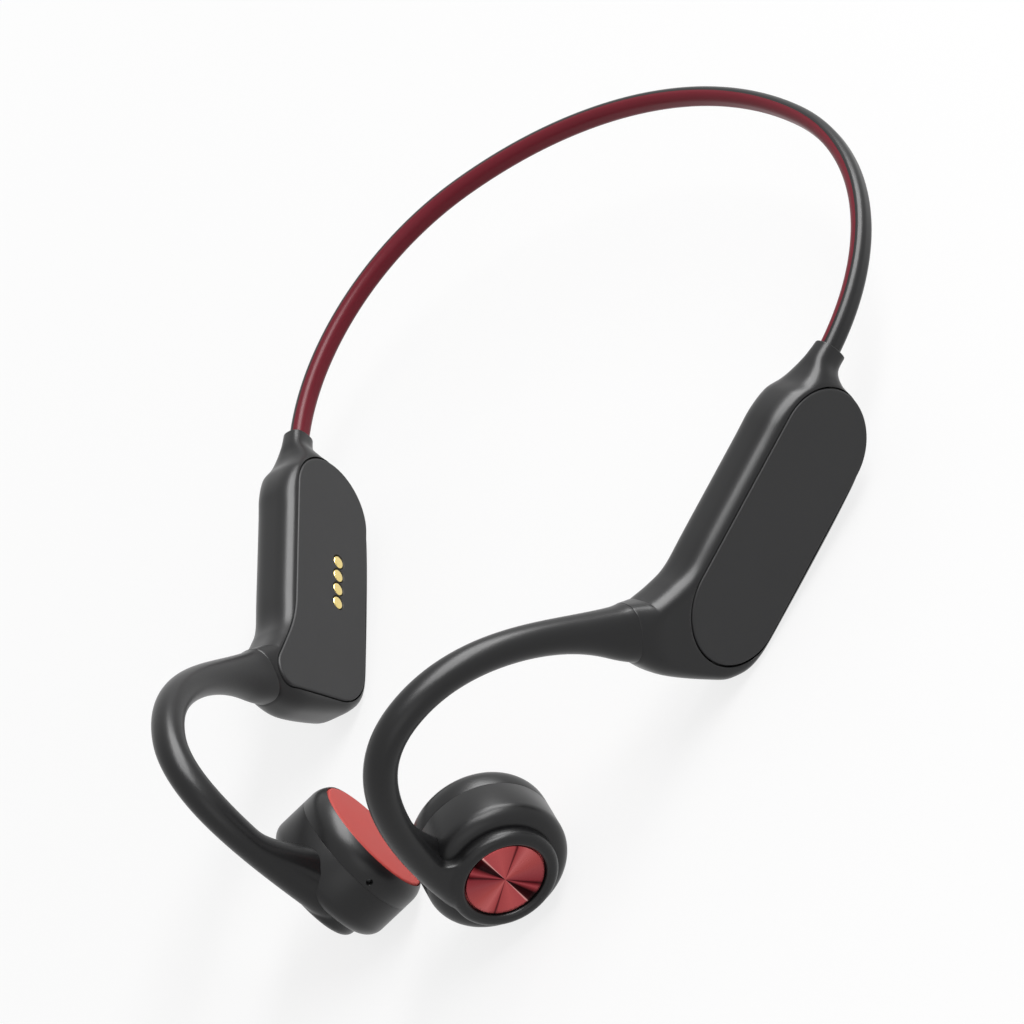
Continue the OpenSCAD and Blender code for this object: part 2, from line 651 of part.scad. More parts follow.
// Sides
module left_pod_shell() color(CHARCOAL) on_left() pod_shell();
module left_outer_cover() color(MATTE) on_left() outer_cover();
module left_inner_cover() color(MATTE) on_left() inner_cover();
module left_cover_seal() color(MATTE) on_left() cover_seal();
module left_wire_anchor() color(STEEL) on_left() wire_anchor();
module left_ear_hook() color(CHARCOAL) on_left() ear_hook();
module left_hook_lead() color(COPPER) on_left() hook_lead();
module left_driver_housing() color(CHARCOAL) on_left() driver_housing(true);
module left_driver_front() color(CHARCOAL) on_left() driver_front();
module left_contact_pad() color(CORAL) on_left() contact_pad();
module left_spring_plate() color(STEEL) on_left() spring_plate();
module left_voice_coil() color(COPPER) on_left() voice_coil();
module left_magnet() color(FOIL) on_left() magnet();
module left_yoke() color(STEEL) on_left() yoke();
module right_outer_cover() color(MATTE) on_right() outer_cover();
module right_cover_seal() color(MATTE) on_right() cover_seal();
module right_wire_anchor() color(STEEL) on_right() wire_anchor();
module right_ear_hook() color(CHARCOAL) on_right() ear_hook();
module right_hook_lead() color(COPPER) on_right() hook_lead();
module right_driver_housing() color(CHARCOAL) on_right() driver_housing(false);
module right_contact_pad() color(CORAL) on_right() contact_pad();
module right_spring_plate() color(STEEL) on_right() spring_plate();
module right_voice_coil() color(COPPER) on_right() voice_coil();
module right_magnet() color(FOIL) on_right() magnet();
module right_yoke() color(STEEL) on_right() yoke();

// Left pod's cell and the button in the left cap ring
module battery() {
    color(FOIL)
        on_left()
            in_covers()
                along_o(inner_face, inner_face + battery_t) square([battery_len, battery_h], center = true);
}
module battery_board() {
    color(BOARD_GREEN)
        on_left()
            in_covers()
                along_o(inner_face, inner_face + board_t)
                    translate([battery_len / 2 + 0.3, -4]) square([3, 8]);
}
module multifunction_button() {
    color(RED)
        on_left()
            in_drum() {
                red_disc(flange_z + flange_t / 2);
                translate([0, 0, flange_z]) cylinder(r = flange_r, h = flange_t);
            }
}
module multifunction_switch() {
    color(MATTE)
        on_left()
            in_drum() translate([0, 0, switch_z]) cylinder(r = switch_r, h = drum_len - switch_z);
}

// Right pod's boards, contacts and buttons, and the right drum's trim and microphone
module right_trim_disc() color(RED) on_right() in_drum() red_disc(drum_len);
mic_angle = -106;
mic_z = pad_t + 2;
module in_mic() in_drum() rotate([0, 0, mic_angle]) translate([0, 0, mic_z]) rotate([0, 90, 0]) children();
mic_d = 2.2;
mic_t = 0.5;
mic_hole_d = 0.8;
mic_back = yoke_r + bore_gap;
module right_driver_front() {
    color(CHARCOAL)
        on_right()
            difference() {
                driver_front();
                in_mic() translate([0, 0, mic_back]) cylinder(d = mic_hole_d, h = drum_r);
            }
}
module microphone() {
    color(FOIL) on_right() in_mic() translate([0, 0, mic_back]) cylinder(d = mic_d, h = mic_t);
}
module each_contact() {
    for (k = [0:contact_count - 1])
        translate([contact_x + (k - (contact_count - 1) / 2) * contact_pitch, contact_y]) children();
}
module right_inner_cover() {
    color(MATTE)
        on_right()
            difference() {
                inner_cover();
                in_covers() along_o(-pod_t, pod_t) each_contact() circle(d = contact_d + bore_gap);
            }
}
contact_back = inner_face + block_t / 2;
module contact_block() {
    color(MATTE)
        on_right()
            in_covers()
                difference() {
                    along_o(inner_face, board_o)
                        translate([contact_x, contact_y]) square([block_len, block_h], center = true);
                    along_o(inner_face - 1, contact_back) each_contact() circle(d = contact_d + bore_gap);
                }
}
module charging_contacts() {
    color(GOLD) on_right() in_covers() along_o(-pod_half, contact_back) each_contact() circle(d = contact_d);
}
module charging_magnets() {
    reach = block_len / 2 + magnet_hold_d / 2 + 0.3;
    color(FOIL)
        on_right()
            in_covers()
                for (x = [-reach, reach])
                    along_o(inner_face, board_o)
                        translate([contact_x + x, contact_y]) circle(d = magnet_hold_d);
}
chip_sizes = [[6, 6], [4, 5], [3, 3]];
chip_pitch = 8;
chip_t = 0.9;
module main_board() {
    color(BOARD_GREEN)
        on_right()
            in_covers() {
                along_o(board_o, board_o + board_t) square([board_len, board_h], center = true);
                for (k = [0:len(chip_sizes) - 1])
                    along_o(board_o + board_t, board_o + board_t + chip_t)
                        translate([(k - 1) * chip_pitch, 0]) square(chip_sizes[k], center = true);
            }
}
// Outline in s and o, extruded upward
module upright(x, from, to) in_covers() translate([x, 0, from]) linear_extrude(to - from) children();
module right_pod_shell() {
    color(CHARCOAL)
        on_right()
            difference() {
                pod_shell();
                for (k = [-1, 1])
                    upright(k * volume_pitch / 2, volume_low - 1, 0)
                        slot(volume_len + 2 * slide_gap, volume_w + 2 * slide_gap);
            }
}
module volume_button(k) {
    x = k * volume_pitch / 2;
    upright(x, volume_low, volume_lip - pocket_r) slot(volume_len, volume_w);
    upright(x, 0.05 - pocket_r, volume_lip - pocket_r) slot(volume_len + 1.2, volume_w + 1.2);
}
module volume_up_button() color(CHARCOAL) on_right() volume_button(1);
module volume_down_button() color(CHARCOAL) on_right() volume_button(-1);
module volume_switches() {
    color(FOIL)
        on_right()
            for (k = [-1, 1])
                upright(k * volume_pitch / 2, switch_low, -board_h / 2)
                    translate([0, board_o + board_t / 2]) square([3.6, board_t], center = true);
}

band_core();
band_outer_cover();
band_inner_strip();
band_cable();
left_pod_shell();
left_outer_cover();
left_inner_cover();
left_cover_seal();
left_wire_anchor();
left_ear_hook();
left_hook_lead();
left_driver_housing();
left_driver_front();
left_contact_pad();
left_spring_plate();
left_voice_coil();
left_magnet();
left_yoke();
battery();
battery_board();
multifunction_button();
multifunction_switch();
right_pod_shell();
right_outer_cover();
right_inner_cover();
right_cover_seal();
right_wire_anchor();
right_ear_hook();
right_hook_lead();
right_driver_housing();
right_driver_front();
right_contact_pad();
right_spring_plate();
right_voice_coil();
right_magnet();
right_yoke();
right_trim_disc();
microphone();
main_board();
contact_block();
charging_contacts();
charging_magnets();
volume_up_button();
volume_down_button();
volume_switches();
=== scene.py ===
"""Looks of a pair of bone conduction headphones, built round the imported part.

Every piece is drawn as the headphones are worn, in millimetres: +X is the wearer's left, -Y is
forward and +Z is up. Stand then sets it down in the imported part's frame, in metres. The left side
is drawn, and the right side is its mirror image.
"""

import json
import logging
import math
from dataclasses import dataclass, field, replace
from enum import Enum
from typing import Any, Callable, Sequence

import bmesh
import bpy
import numpy as np
from mathutils import Matrix, Vector

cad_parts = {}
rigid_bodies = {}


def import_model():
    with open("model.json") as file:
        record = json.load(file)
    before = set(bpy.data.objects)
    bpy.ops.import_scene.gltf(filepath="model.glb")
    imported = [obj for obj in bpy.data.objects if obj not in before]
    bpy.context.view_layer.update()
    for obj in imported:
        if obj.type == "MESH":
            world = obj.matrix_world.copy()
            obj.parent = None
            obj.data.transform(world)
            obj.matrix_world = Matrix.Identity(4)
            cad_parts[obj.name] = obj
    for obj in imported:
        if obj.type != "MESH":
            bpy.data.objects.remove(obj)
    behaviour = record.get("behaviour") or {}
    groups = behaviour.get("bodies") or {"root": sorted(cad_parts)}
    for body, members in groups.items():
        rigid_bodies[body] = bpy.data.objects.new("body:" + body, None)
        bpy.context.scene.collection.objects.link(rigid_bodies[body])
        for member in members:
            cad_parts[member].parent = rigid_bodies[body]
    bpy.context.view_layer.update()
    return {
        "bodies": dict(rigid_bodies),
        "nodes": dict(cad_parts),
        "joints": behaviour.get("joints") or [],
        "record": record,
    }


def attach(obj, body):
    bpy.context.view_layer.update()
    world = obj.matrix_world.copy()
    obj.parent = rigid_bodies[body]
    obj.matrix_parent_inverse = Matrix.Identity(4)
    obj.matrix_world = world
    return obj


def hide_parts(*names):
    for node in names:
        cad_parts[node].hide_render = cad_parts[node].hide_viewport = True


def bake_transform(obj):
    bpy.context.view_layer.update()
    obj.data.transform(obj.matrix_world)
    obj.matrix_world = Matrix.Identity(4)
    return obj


Array = np.ndarray
Face = tuple[int, ...]
Pairs = Sequence[tuple[float, float]]
Piece = bpy.types.Object
Tree = bpy.types.NodeTree
Socket = bpy.types.NodeSocket

log = logging.getLogger("headphones")

MM = 0.001
UP = np.array([0.0, 0.0, 1.0])
# Lays what is turned about Z along X
TO_X = Matrix.Rotation(math.radians(90), 4, "Y")
# Edges that turn more than this stay crisp
CREASE = math.radians(38)
# Points of a mesh that are closer than this, in millimetres, become one
MERGE_MM = 1e-5
# Radians that Blender's wave texture turns through for each unit of its scale
WAVE_RADIANS = 20


class Side(Enum):
    """Side of the wearer's head."""

    LEFT = "left"
    RIGHT = "right"

    @property
    def arm(self) -> str:
        """Name of the body that carries this side."""
        return f"{self.value}_arm"

    @property
    def mirror(self) -> Matrix:
        """Matrix that takes the left side, as drawn, to this side."""
        return Matrix.Scale(1.0 if self is Side.LEFT else -1.0, 4, (1, 0, 0))


def both(*names: str) -> tuple[str, ...]:
    """Names of the pieces that each side has one of."""
    return tuple(f"{side.value}_{name}" for name in names for side in Side)


# Curves and outlines


def signed_power(values: Array, power: float | Array) -> Array:
    """Raises values to a power and keeps their signs."""
    return np.sign(values) * np.abs(values) ** power


def smooth_rows(rows: Array, steps: int) -> Array:
    """Runs a smooth curve through the rows of a table.

    Args:
        rows: Table whose rows the curve passes through.
        steps: New rows for each old one.

    Returns:
        The finer table, which ends with the last old row.
    """
    padded = np.vstack([rows[:1], rows, rows[-1:]])
    fine = []
    for i in range(len(rows) - 1):
        a, b, c, d = padded[i : i + 4]
        for t in np.arange(steps) / steps:
            pull = (2 * a - 5 * b + 4 * c - d) * t * t + (3 * b - a - 3 * c + d) * t**3
            fine.append(b + ((c - a) * t + pull) / 2)
    return np.array(fine + [rows[-1]])


def arc(centre: Sequence[float], radius: float, start: float, end: float, steps: int) -> Array:
    """Points of an arc, with its angles in degrees and both ends included."""
    turn = np.radians(np.linspace(start, end, steps + 1))
    return np.asarray(centre) + radius * np.column_stack([np.cos(turn), np.sin(turn)])


def circle(centre: Sequence[float], diameter: float, points: int = 24) -> Array:
    """Closed outline of a circle."""
    return arc(centre, diameter / 2, 0, 360 - 360 / points, points - 1)


def stadium(end: float, radius: float, steps: int) -> Array:
    """Closed outline of a bar with round ends, whose centres lie that far each way."""
    rear, front = arc([-end, 0], radius, 90, 270, steps), arc([end, 0], radius, 270, 450, steps)
    return np.vstack([rear, front])


def edge_steps(radius: float, degrees: Sequence[float]) -> list[tuple[float, float]]:
    """How far a rounded edge draws in and stands back, at angles from its wall to its face."""
    turns = np.radians(degrees)
    return [(radius * (1 - math.cos(t)), radius * (1 - math.sin(t))) for t in turns]


def run_along(points: Array) -> Array:
    """Length along a line of points, up to each of them."""
    return np.concatenate([[0], np.cumsum(np.linalg.norm(np.diff(points, axis=0), axis=1))])


def resampled(loop: Array, count: int) -> Array:
    """Spreads points evenly along a closed outline, from its first point.

    Args:
        loop: Points of the outline.
        count: Points wanted.

    Returns:
        The new points.
    """
    closed = np.vstack([loop, loop[:1]])
    run = run_along(closed)
    stops = np.linspace(0, run[-1], count, endpoint=False)
    return np.column_stack([np.interp(stops, run, column) for column in closed.T])


def bezier(points: Sequence[Array], t: float) -> Array:
    """Point of a cubic curve."""
    a, b, c, d = points
    return a * (1 - t) ** 3 + b * 3 * t * (1 - t) ** 2 + c * 3 * t * t * (1 - t) + d * t**3


def bezier_direction(points: Sequence[Array], t: float) -> Array:
    """Unit direction of a cubic curve."""
    a, b, c, d = points
    return unit((b - a) * (1 - t) ** 2 + (c - b) * 2 * t * (1 - t) + (d - c) * t * t)


def unit(vector: Array) -> Array:
    """Vector of length one in the same direction."""
    return vector / np.linalg.norm(vector)


def outward(degrees: float) -> Array:
    """Level direction out from the left of the head, turned forward by an angle."""
    turn = math.radians(degrees)
    return np.array([math.cos(turn), -math.sin(turn), 0.0])


def onward(degrees: float) -> Array:
    """Level direction to the front, square to the outward one at that angle."""
    turn = math.radians(degrees)
    return np.array([-math.sin(turn), -math.cos(turn), 0.0])


def posed(place: Vector, x: Array, y: Array, z: Array) -> Matrix:
    """Matrix of a place and three axes."""
    return Matrix.Translation(place) @ Matrix((x, y, z)).transposed().to_4x4()


def eased(t: float) -> float:
    """Smooth step from 0 to 1."""
    t = min(max(t, 0.0), 1.0)
    return t * t * (3 - 2 * t)


# Meshes


@dataclass
class Blank:
    """A mesh in the making, in millimetres."""

    points: Array
    faces: list[Face]

    def moved(self, matrix: Matrix) -> "Blank":
        """Copy of the blank, taken through a matrix."""
        turn = np.array(matrix.to_3x3())
        return Blank(self.points @ turn.T + np.array(matrix.translation), self.faces)

    def __add__(self, other: "Blank") -> "Blank":
        """Joins two blanks in one mesh.

        Args:
            other: Blank that comes after this one.

        Returns:
            The mesh of both.
        """
        shift = len(self.points)
        faces = self.faces + [tuple(k + shift for k in face) for face in other.faces]
        return Blank(np.vstack([self.points, other.points]), faces)


def lofted(rings: Sequence[Array], capped: bool = True) -> Blank:
    """Skin over closed rings that all have as many points.

    Args:
        rings: Rings of points, in order along the piece.
        capped: Whether the first and last rings are closed.

    Returns:
        The skin.
    """
    rows, n = len(rings), len(rings[0])
    faces: list[Face] = []
    for i in range(rows - 1):
        for j in range(n):
            k = (j + 1) % n
            faces.append((i * n + j, i * n + k, (i + 1) * n + k, (i + 1) * n + j))
    if capped:
        faces.append(tuple(range(n))[::-1])
        faces.append(tuple(range((rows - 1) * n, rows * n)))
    return Blank(np.vstack(rings), faces)


def lathed(profile: Array, points: int = 128) -> Blank:
    """Solid of revolution about Z.

    Args:
        profile: Closed outline, as pairs of radius and height.
        points: Points round the axis.

    Returns:
        The solid.
    """
    turn = np.linspace(0, math.tau, points, endpoint=False)
    rings = [
        np.column_stack([r * np.cos(turn), r * np.sin(turn), np.full(points, z)])
        for r, z in np.vstack([profile, profile[:1]])
    ]
    return lofted(rings, capped=False)


def linked(name: str, data: bpy.types.ID) -> Piece:
    """Adds an object to the scene.

    Args:
        name: Its name.
        data: Its mesh, camera or lamp.

    Returns:
        The object.
    """
    made = bpy.data.objects.new(name, data)
    bpy.context.scene.collection.objects.link(made)
    return made


def workpiece(name: str, blank: Blank) -> Piece:
    """Makes a mesh object of a blank, with merged points and outward normals.

    Args:
        name: Its name.
        blank: Its points and faces.

    Returns:
        The object, still in millimetres.
    """
    mesh = bpy.data.meshes.new(name)
    mesh.from_pydata(blank.points.tolist(), [], blank.faces)
    work = bmesh.new()
    work.from_mesh(mesh)
    bmesh.ops.remove_doubles(work, verts=work.verts, dist=MERGE_MM)
    bmesh.ops.recalc_face_normals(work, faces=work.faces)
    work.to_mesh(mesh)
    work.free()
    return linked(name, mesh)


def settled(piece: Piece) -> None:
    """Applies a piece's modifiers to its mesh.

    Args:
        piece: Piece with modifiers.
    """
    bpy.context.view_layer.update()
    graph = bpy.context.evaluated_depsgraph_get()
    mesh = bpy.data.meshes.new_from_object(piece.evaluated_get(graph))
    piece.modifiers.clear()
    piece.data = mesh


def cut(piece: Piece, *cutters: Blank) -> None:
    """Takes the cutters' shapes out of a piece.

    Args:
        piece: Piece to cut.
        cutters: Closed shapes, one cut after another.
    """
    for blank in cutters:
        tool = workpiece("cutter", blank)
        step = piece.modifiers.new("cut", "BOOLEAN")
        step.object = tool
        step.operation = "DIFFERENCE"
        step.solver = "EXACT"
        settled(piece)
        bpy.data.objects.remove(tool)


def cut_square(piece: Piece, place: Array, normal: Array) -> None:
    """Cuts a piece off at a plane and closes it there.

    Args:
        piece: Piece to cut.
        place: Point of the plane.
        normal: Direction square to the plane, toward the side that stays.
    """
    work = bmesh.new()
    work.from_mesh(piece.data)
    found = bmesh.ops.bisect_plane(
        work,
        geom=[*work.verts, *work.edges, *work.faces],
        plane_co=place,
        plane_no=normal,
        clear_inner=True,
    )
    rim = [e for e in found["geom_cut"] if isinstance(e, bmesh.types.BMEdge)]
    bmesh.ops.edgenet_fill(work, edges=rim)
    bmesh.ops.recalc_face_normals(work, faces=work.faces)
    work.to_mesh(piece.data)
    work.free()


def melted(piece: Piece, grain: float, passes: int) -> None:
    """Melts overlapping shapes into one skin with soft fillets.

    Args:
        piece: Piece whose shapes overlap.
        grain: Size of the new faces, in millimetres.
        passes: Rounds of smoothing.
    """
    skin = piece.modifiers.new("skin", "REMESH")
    skin.mode = "VOXEL"
    skin.voxel_size = grain
    smooth = piece.modifiers.new("smooth", "SMOOTH")
    smooth.factor = 0.5
    smooth.iterations = passes
    settled(piece)


# Finishes


def linear(colour: str) -> tuple[float, float, float, float]:
    """Turns an sRGB hex colour into linear light.

    Args:
        colour: A hash sign and six digits.

    Returns:
        Red, green and blue, with a full alpha.
    """
    parts = [int(colour[k : k + 2], 16) / 255 for k in (1, 3, 5)]
    lit = [c / 12.92 if c <= 0.04045 else ((c + 0.055) / 1.055) ** 2.4 for c in parts]
    return lit[0], lit[1], lit[2], 1.0


def cleared(owner: bpy.types.Material | bpy.types.World) -> Tree:
    """Turns a material's or world's nodes on and empties their tree.

    Args:
        owner: Material or world.

    Returns:
        Its node tree.
    """
    owner.use_nodes = True
    owner.node_tree.nodes.clear()
    return owner.node_tree


def add_node(
    tree: Tree,
    kind: str,
    settings: dict[str | int, Any] | None = None,
    links: dict[str | int, Socket] | None = None,
) -> bpy.types.Node:
    """Adds a node with its settings and links.

    Args:
        tree: Node tree that takes the node.
        kind: Blender's name for the node's type.
        settings: Values of the node's own properties, or of its inputs by name or number.
        links: Sources of its inputs, by name or number.

    Returns:
        The node.
    """
    made = tree.nodes.new(kind)
    for key, value in (settings or {}).items():
        if isinstance(key, str) and hasattr(made, key):
            setattr(made, key, value)
        else:
            made.inputs[key].default_value = value
    for key, source in (links or {}).items():
        tree.links.new(source, made.inputs[key])
    return made


@dataclass(frozen=True)
class Finish:
    """A moulded, plated or drawn surface with fine grain and slight unevenness."""

    name: str
    slot: str
    colour: str
    roughness: float
    metallic: float = 0.0
    ior: float = 1.5
    specular: float = 0.5
    # Size and depth of the grain. Real grain is some hundredths of a millimetre, too fine to show,
    # so it is drawn coarser, at a few tenths
    grain_mm: float = 0.3
    depth_mm: float = 0.004
    # Size of the patches that are duller and paler than the rest, and by what shares
    patch_mm: float = 9.0
    uneven: float = 0.06
    dulled: float = 0.15
    coat: float = 0.0

    def tint(self, tree: Tree, place: Socket) -> Socket:
        """Colour over the surface: the finish's own colour, a little paler in patches.

        Args:
            tree: Node tree of the material.
            place: Place on the surface.

        Returns:
            The colour.
        """
        patches = add_node(
            tree,
            "ShaderNodeTexNoise",
            {"Scale": 1 / (self.patch_mm * MM), "Detail": 3.0},
            {"Vector": place},
        )
        base = np.array(linear(self.colour))
        ends = {"A": base * (1 - self.uneven), "B": base * (1 + self.uneven)}
        mix = add_node(tree, "ShaderNodeMix", {"data_type": "RGBA"})
        for socket in (s for s in mix.inputs if s.type == "RGBA"):
            socket.default_value = (*np.clip(ends[socket.name][:3], 0, 1), 1.0)
        tree.links.new(patches.outputs["Fac"], mix.inputs["Factor"])
        return next(s for s in mix.outputs if s.type == "RGBA")

    def height(self, tree: Tree, place: Socket) -> Socket:
        """Height of the grain over the surface, from 0 to 1.

        Args:
            tree: Node tree of the material.
            place: Place on the surface.

        Returns:
            The height.
        """
        grain = add_node(
            tree,
            "ShaderNodeTexNoise",
            {"Scale": 1 / (self.grain_mm * MM), "Detail": 2.0},
            {"Vector": place},
        )
        return grain.outputs["Fac"]

    def material(self) -> bpy.types.Material:
        """Builds the finish as a material, once.

        Returns:
            The material.
        """
        if self.name in bpy.data.materials:
            return bpy.data.materials[self.name]
        made = bpy.data.materials.new(self.name)
        tree = cleared(made)
        place = add_node(tree, "ShaderNodeTexCoord").outputs["Object"]
        dull = add_node(
            tree,
            "ShaderNodeTexNoise",
            {"Scale": 1 / (self.patch_mm * MM), "Detail": 5.0},
            {"Vector": place},
        )
        spread = self.dulled * self.roughness
        shine = add_node(
            tree,
            "ShaderNodeMapRange",
            {"To Min": self.roughness - spread, "To Max": self.roughness + spread},
            {"Value": dull.outputs["Fac"]},
        )
        relief = add_node(
            tree,
            "ShaderNodeBump",
            {"Strength": 1.0, "Distance": self.depth_mm * MM},
            {"Height": self.height(tree, place)},
        )
        surface = add_node(
            tree,
            "ShaderNodeBsdfPrincipled",
            {
                "Metallic": self.metallic,
                "IOR": self.ior,
                "Specular IOR Level": self.specular,
                "Coat Weight": self.coat,
            },
            {
                "Base Color": self.tint(tree, place),
                "Roughness": shine.outputs["Result"],
                "Normal": relief.outputs["Normal"],
            },
        )
        add_node(tree, "ShaderNodeOutputMaterial", links={"Surface": surface.outputs["BSDF"]})
        return made

    def dress(self, mesh: bpy.types.Mesh) -> None:
        """Makes the finish a mesh's only material."""
        mesh.materials.clear()
        mesh.materials.append(self.material())


@dataclass(frozen=True)
class TurnedFinish(Finish):
    """Metal turned on a lathe, with the bright and dark fans that its fine rings reflect painted
    into its colour.
    """

    # Angle and colour of each painted reflection fan, which take the place of the one colour. The
    # angles are in degrees from the face's lower edge, and the fans repeat half a turn on
    painted_fans: tuple[tuple[float, str], ...] = ()
    # Matrix from the face's own frame to the part's frame
    face: Matrix = field(default_factory=Matrix)

    def turned(self, tree: Tree, place: Socket) -> Socket:
        """Takes a place to the face's own frame.

        Args:
            tree: Node tree of the material.
            place: Place in the part's frame.

        Returns:
            The place in the face's frame.
        """
        rows = {}
        for k, row in enumerate(self.face.inverted()[:3]):
            along = add_node(
                tree,
                "ShaderNodeVectorMath",
                {"operation": "DOT_PRODUCT", 1: row[:3]},
                {0: place},
            )
            rows[k] = add_node(
                tree,
                "ShaderNodeMath",
                {"operation": "ADD", 1: row[3]},
                {0: along.outputs["Value"]},
            ).outputs["Value"]
        return add_node(tree, "ShaderNodeCombineXYZ", links=rows).outputs["Vector"]

    def tint(self, tree: Tree, place: Socket) -> Socket:
        """Painted reflections: the colours of the bright and dark fans round the face.

        Args:
            tree: Node tree of the material.
            place: Place on the surface.

        Returns:
            The colour.
        """
        parts = add_node(tree, "ShaderNodeSeparateXYZ", links={0: self.turned(tree, place)})
        angle = add_node(
            tree,
            "ShaderNodeMath",
            {"operation": "ARCTAN2"},
            {0: parts.outputs["Y"], 1: parts.outputs["X"]},
        )
        half_turns = add_node(
            tree,
            "ShaderNodeMath",
            {"operation": "MULTIPLY", 1: 1 / math.pi},
            {0: angle.outputs["Value"]},
        )
        share = add_node(
            tree,
            "ShaderNodeMath",
            {"operation": "FLOORED_MODULO", 1: 1.0},
            {0: half_turns.outputs["Value"]},
        )
        ramp = add_node(tree, "ShaderNodeValToRGB", links={"Fac": share.outputs["Value"]})
        stops = ramp.color_ramp.elements
        while len(stops) < len(self.painted_fans):
            stops.new(1.0)
        # Each stop paints one reflection fan's colour at its angle
        for stop, (degrees, colour) in zip(stops, self.painted_fans):
            stop.position = degrees / 180
            stop.color = linear(colour)
        return ramp.outputs["Color"]

    def height(self, tree: Tree, place: Socket) -> Socket:
        """Rings left by the turning tool.

        Args:
            tree: Node tree of the material.
            place: Place on the surface.

        Returns:
            The height.
        """
        # The wave's whole turn makes the rings about six times as coarse as the real ones, which
        # are too fine to show
        scale = 1 / (self.grain_mm * MM) / WAVE_RADIANS
        rings = add_node(
            tree,
            "ShaderNodeTexWave",
            {"wave_type": "RINGS", "rings_direction": "Z", "Scale": scale, "Distortion": 0.4},
            {"Vector": self.turned(tree, place)},
        )
        return rings.outputs["Fac"]


@dataclass(frozen=True)
class BoardFinish(Finish):
    """Circuit board with solder mask over a fine pattern of tracks."""

    # Spacing of the tracks, drawn some four times as coarse as real ones so that they show
    track_mm: float = 1.2

    def height(self, tree: Tree, place: Socket) -> Socket:
        """Tracks under the mask.

        Args:
            tree: Node tree of the material.
            place: Place on the surface.

        Returns:
            The height.
        """
        tracks = add_node(
            tree,
            "ShaderNodeTexVoronoi",
            {"feature": "DISTANCE_TO_EDGE", "Scale": 1 / (self.track_mm * MM)},
            {"Vector": place},
        )
        return tracks.outputs["Distance"]


# Polycarbonate moulded with a satin spark finish: broad soft highlights along every rounded edge
SATIN_SHELL = Finish(
    "polycarbonate_satin_moulded", "satin_shell", "#19191a", 0.33,
    specular=0.31, grain_mm=0.25, depth_mm=0.0015,
)
# The same plastic with a fine leather-like etch, which spreads light evenly over the covers
MATTE_COVER = Finish(
    "polycarbonate_matte_etched", "matte_cover", "#242425", 0.55,
    specular=0.36, grain_mm=0.22, depth_mm=0.008,
)
# Silicone rubber overmould, wiped smooth: dark with a soft sheen on its crests
CHARCOAL_SILICONE = Finish(
    "silicone_charcoal_moulded", "charcoal_silicone", "#19191a", 0.33,
    ior=1.43, specular=0.37, grain_mm=0.4, depth_mm=0.002,
)
# Pigmented silicone strip: deep red in the shade and pink where it catches the light
RED_SILICONE = Finish(
    "silicone_red_moulded", "red_silicone", "#711f2b", 0.33,
    ior=1.43, specular=0.18, grain_mm=0.4, depth_mm=0.002,
)
# Soft skin-contact silicone with a dry matte face: an even coral with hardly a highlight
CORAL_SILICONE = Finish(
    "silicone_coral_matte", "coral_silicone", "#cc534d", 0.6,
    ior=1.43, specular=0.2, grain_mm=0.2, depth_mm=0.006,
)
# Moulded rubber gaskets: a dull near-black that shows no clear highlight
SEAL_RUBBER = Finish(
    "rubber_seal_moulded", "seal_rubber", "#1a1a1b", 0.6, grain_mm=0.2, depth_mm=0.006
)
# Gold flashed over nickel on turned pins: warm mirror-like caps with faint tool marks
GOLD_PLATE = Finish(
    "brass_gold_plated", "gold_plate", "#ecd58c", 0.24,
    metallic=1.0, grain_mm=0.15, depth_mm=0.002, patch_mm=0.8,
)
# Titanium drawn to wire: a warm grey with one long highlight
SPRING_WIRE = Finish(
    "titanium_drawn_wire", "spring_wire", "#8f8d8a", 0.34, metallic=1.0, grain_mm=0.2
)
# Steel sheet, pressed and tumbled: a mid grey with blurred reflections
STEEL_PART = Finish("steel_pressed", "steel_part", "#9a9c9e", 0.32, metallic=1.0)
# Nickel plated over a sintered magnet: a pale, slightly yellow mirror
NICKEL_PLATE = Finish(
    "neodymium_nickel_plated", "nickel_plate", "#b9b6ad", 0.2, metallic=1.0
)
# Enamelled copper wire, wound: orange brown with a broken glint
COPPER_WIRE = Finish(
    "copper_enamelled_wound", "copper_wire", "#b46a3c", 0.35, metallic=1.0, grain_mm=0.12
)
# Extruded PVC: near-black with a waxy shine
CABLE_SHEATH = Finish("pvc_sheath_extruded", "cable_sheath", "#202022", 0.45)
# Aluminium laminate of a pouch cell: pale foil whose wrinkles break up the highlights
CELL_FOIL = Finish(
    "aluminium_laminate_pouch", "cell_foil", "#b8bbbf", 0.28,
    metallic=1.0, grain_mm=1.4, depth_mm=0.03,
)
# Glass-fibre epoxy under solder mask: deep green and glossy, with tracks that stand out in relief
BOARD_GREEN = BoardFinish(
    "epoxy_glass_solder_mask", "board_green", "#24543a", 0.3, depth_mm=0.02, coat=0.3
)
# Stamped steel cans of switches: a bright grey with soft reflections
SWITCH_METAL = Finish(
    "steel_switch_stamped", "switch_metal", "#a7a9ab", 0.3, metallic=1.0, grain_mm=0.4
)

# Painted reflections of the turned discs, from one half turn to the next: broad bright fans, two
# thin dark ones and a near-black one with a painted highlight at its edge
PAINTED_DISC_REFLECTIONS = (
    (0, "#260609"),
    (11, "#1a0406"),
    (17, "#74262b"),
    (22, "#984045"),
    (27, "#641a20"),
    (30, "#300a0e"),
    (35, "#7c2c32"),
    (52, "#8c3d41"),
    (82, "#a04746"),
    (105, "#b45c5c"),
    (119, "#983e40"),
    (122, "#400e13"),
    (126, "#9c4244"),
    (150, "#ac4d4e"),
    (173, "#a4474a"),
    (175, "#d89a96"),
    (177, "#320a0d"),
)
# Aluminium turned and then anodised red: a metallic red, with painted reflection fans that swing
# its tone round the face
RED_ANODISED = TurnedFinish(
    "aluminium_turned_red_anodised", "red_anodised", "#c0454b", 0.26,
    metallic=1.0, grain_mm=0.12, depth_mm=0.003, painted_fans=PAINTED_DISC_REFLECTIONS,
)

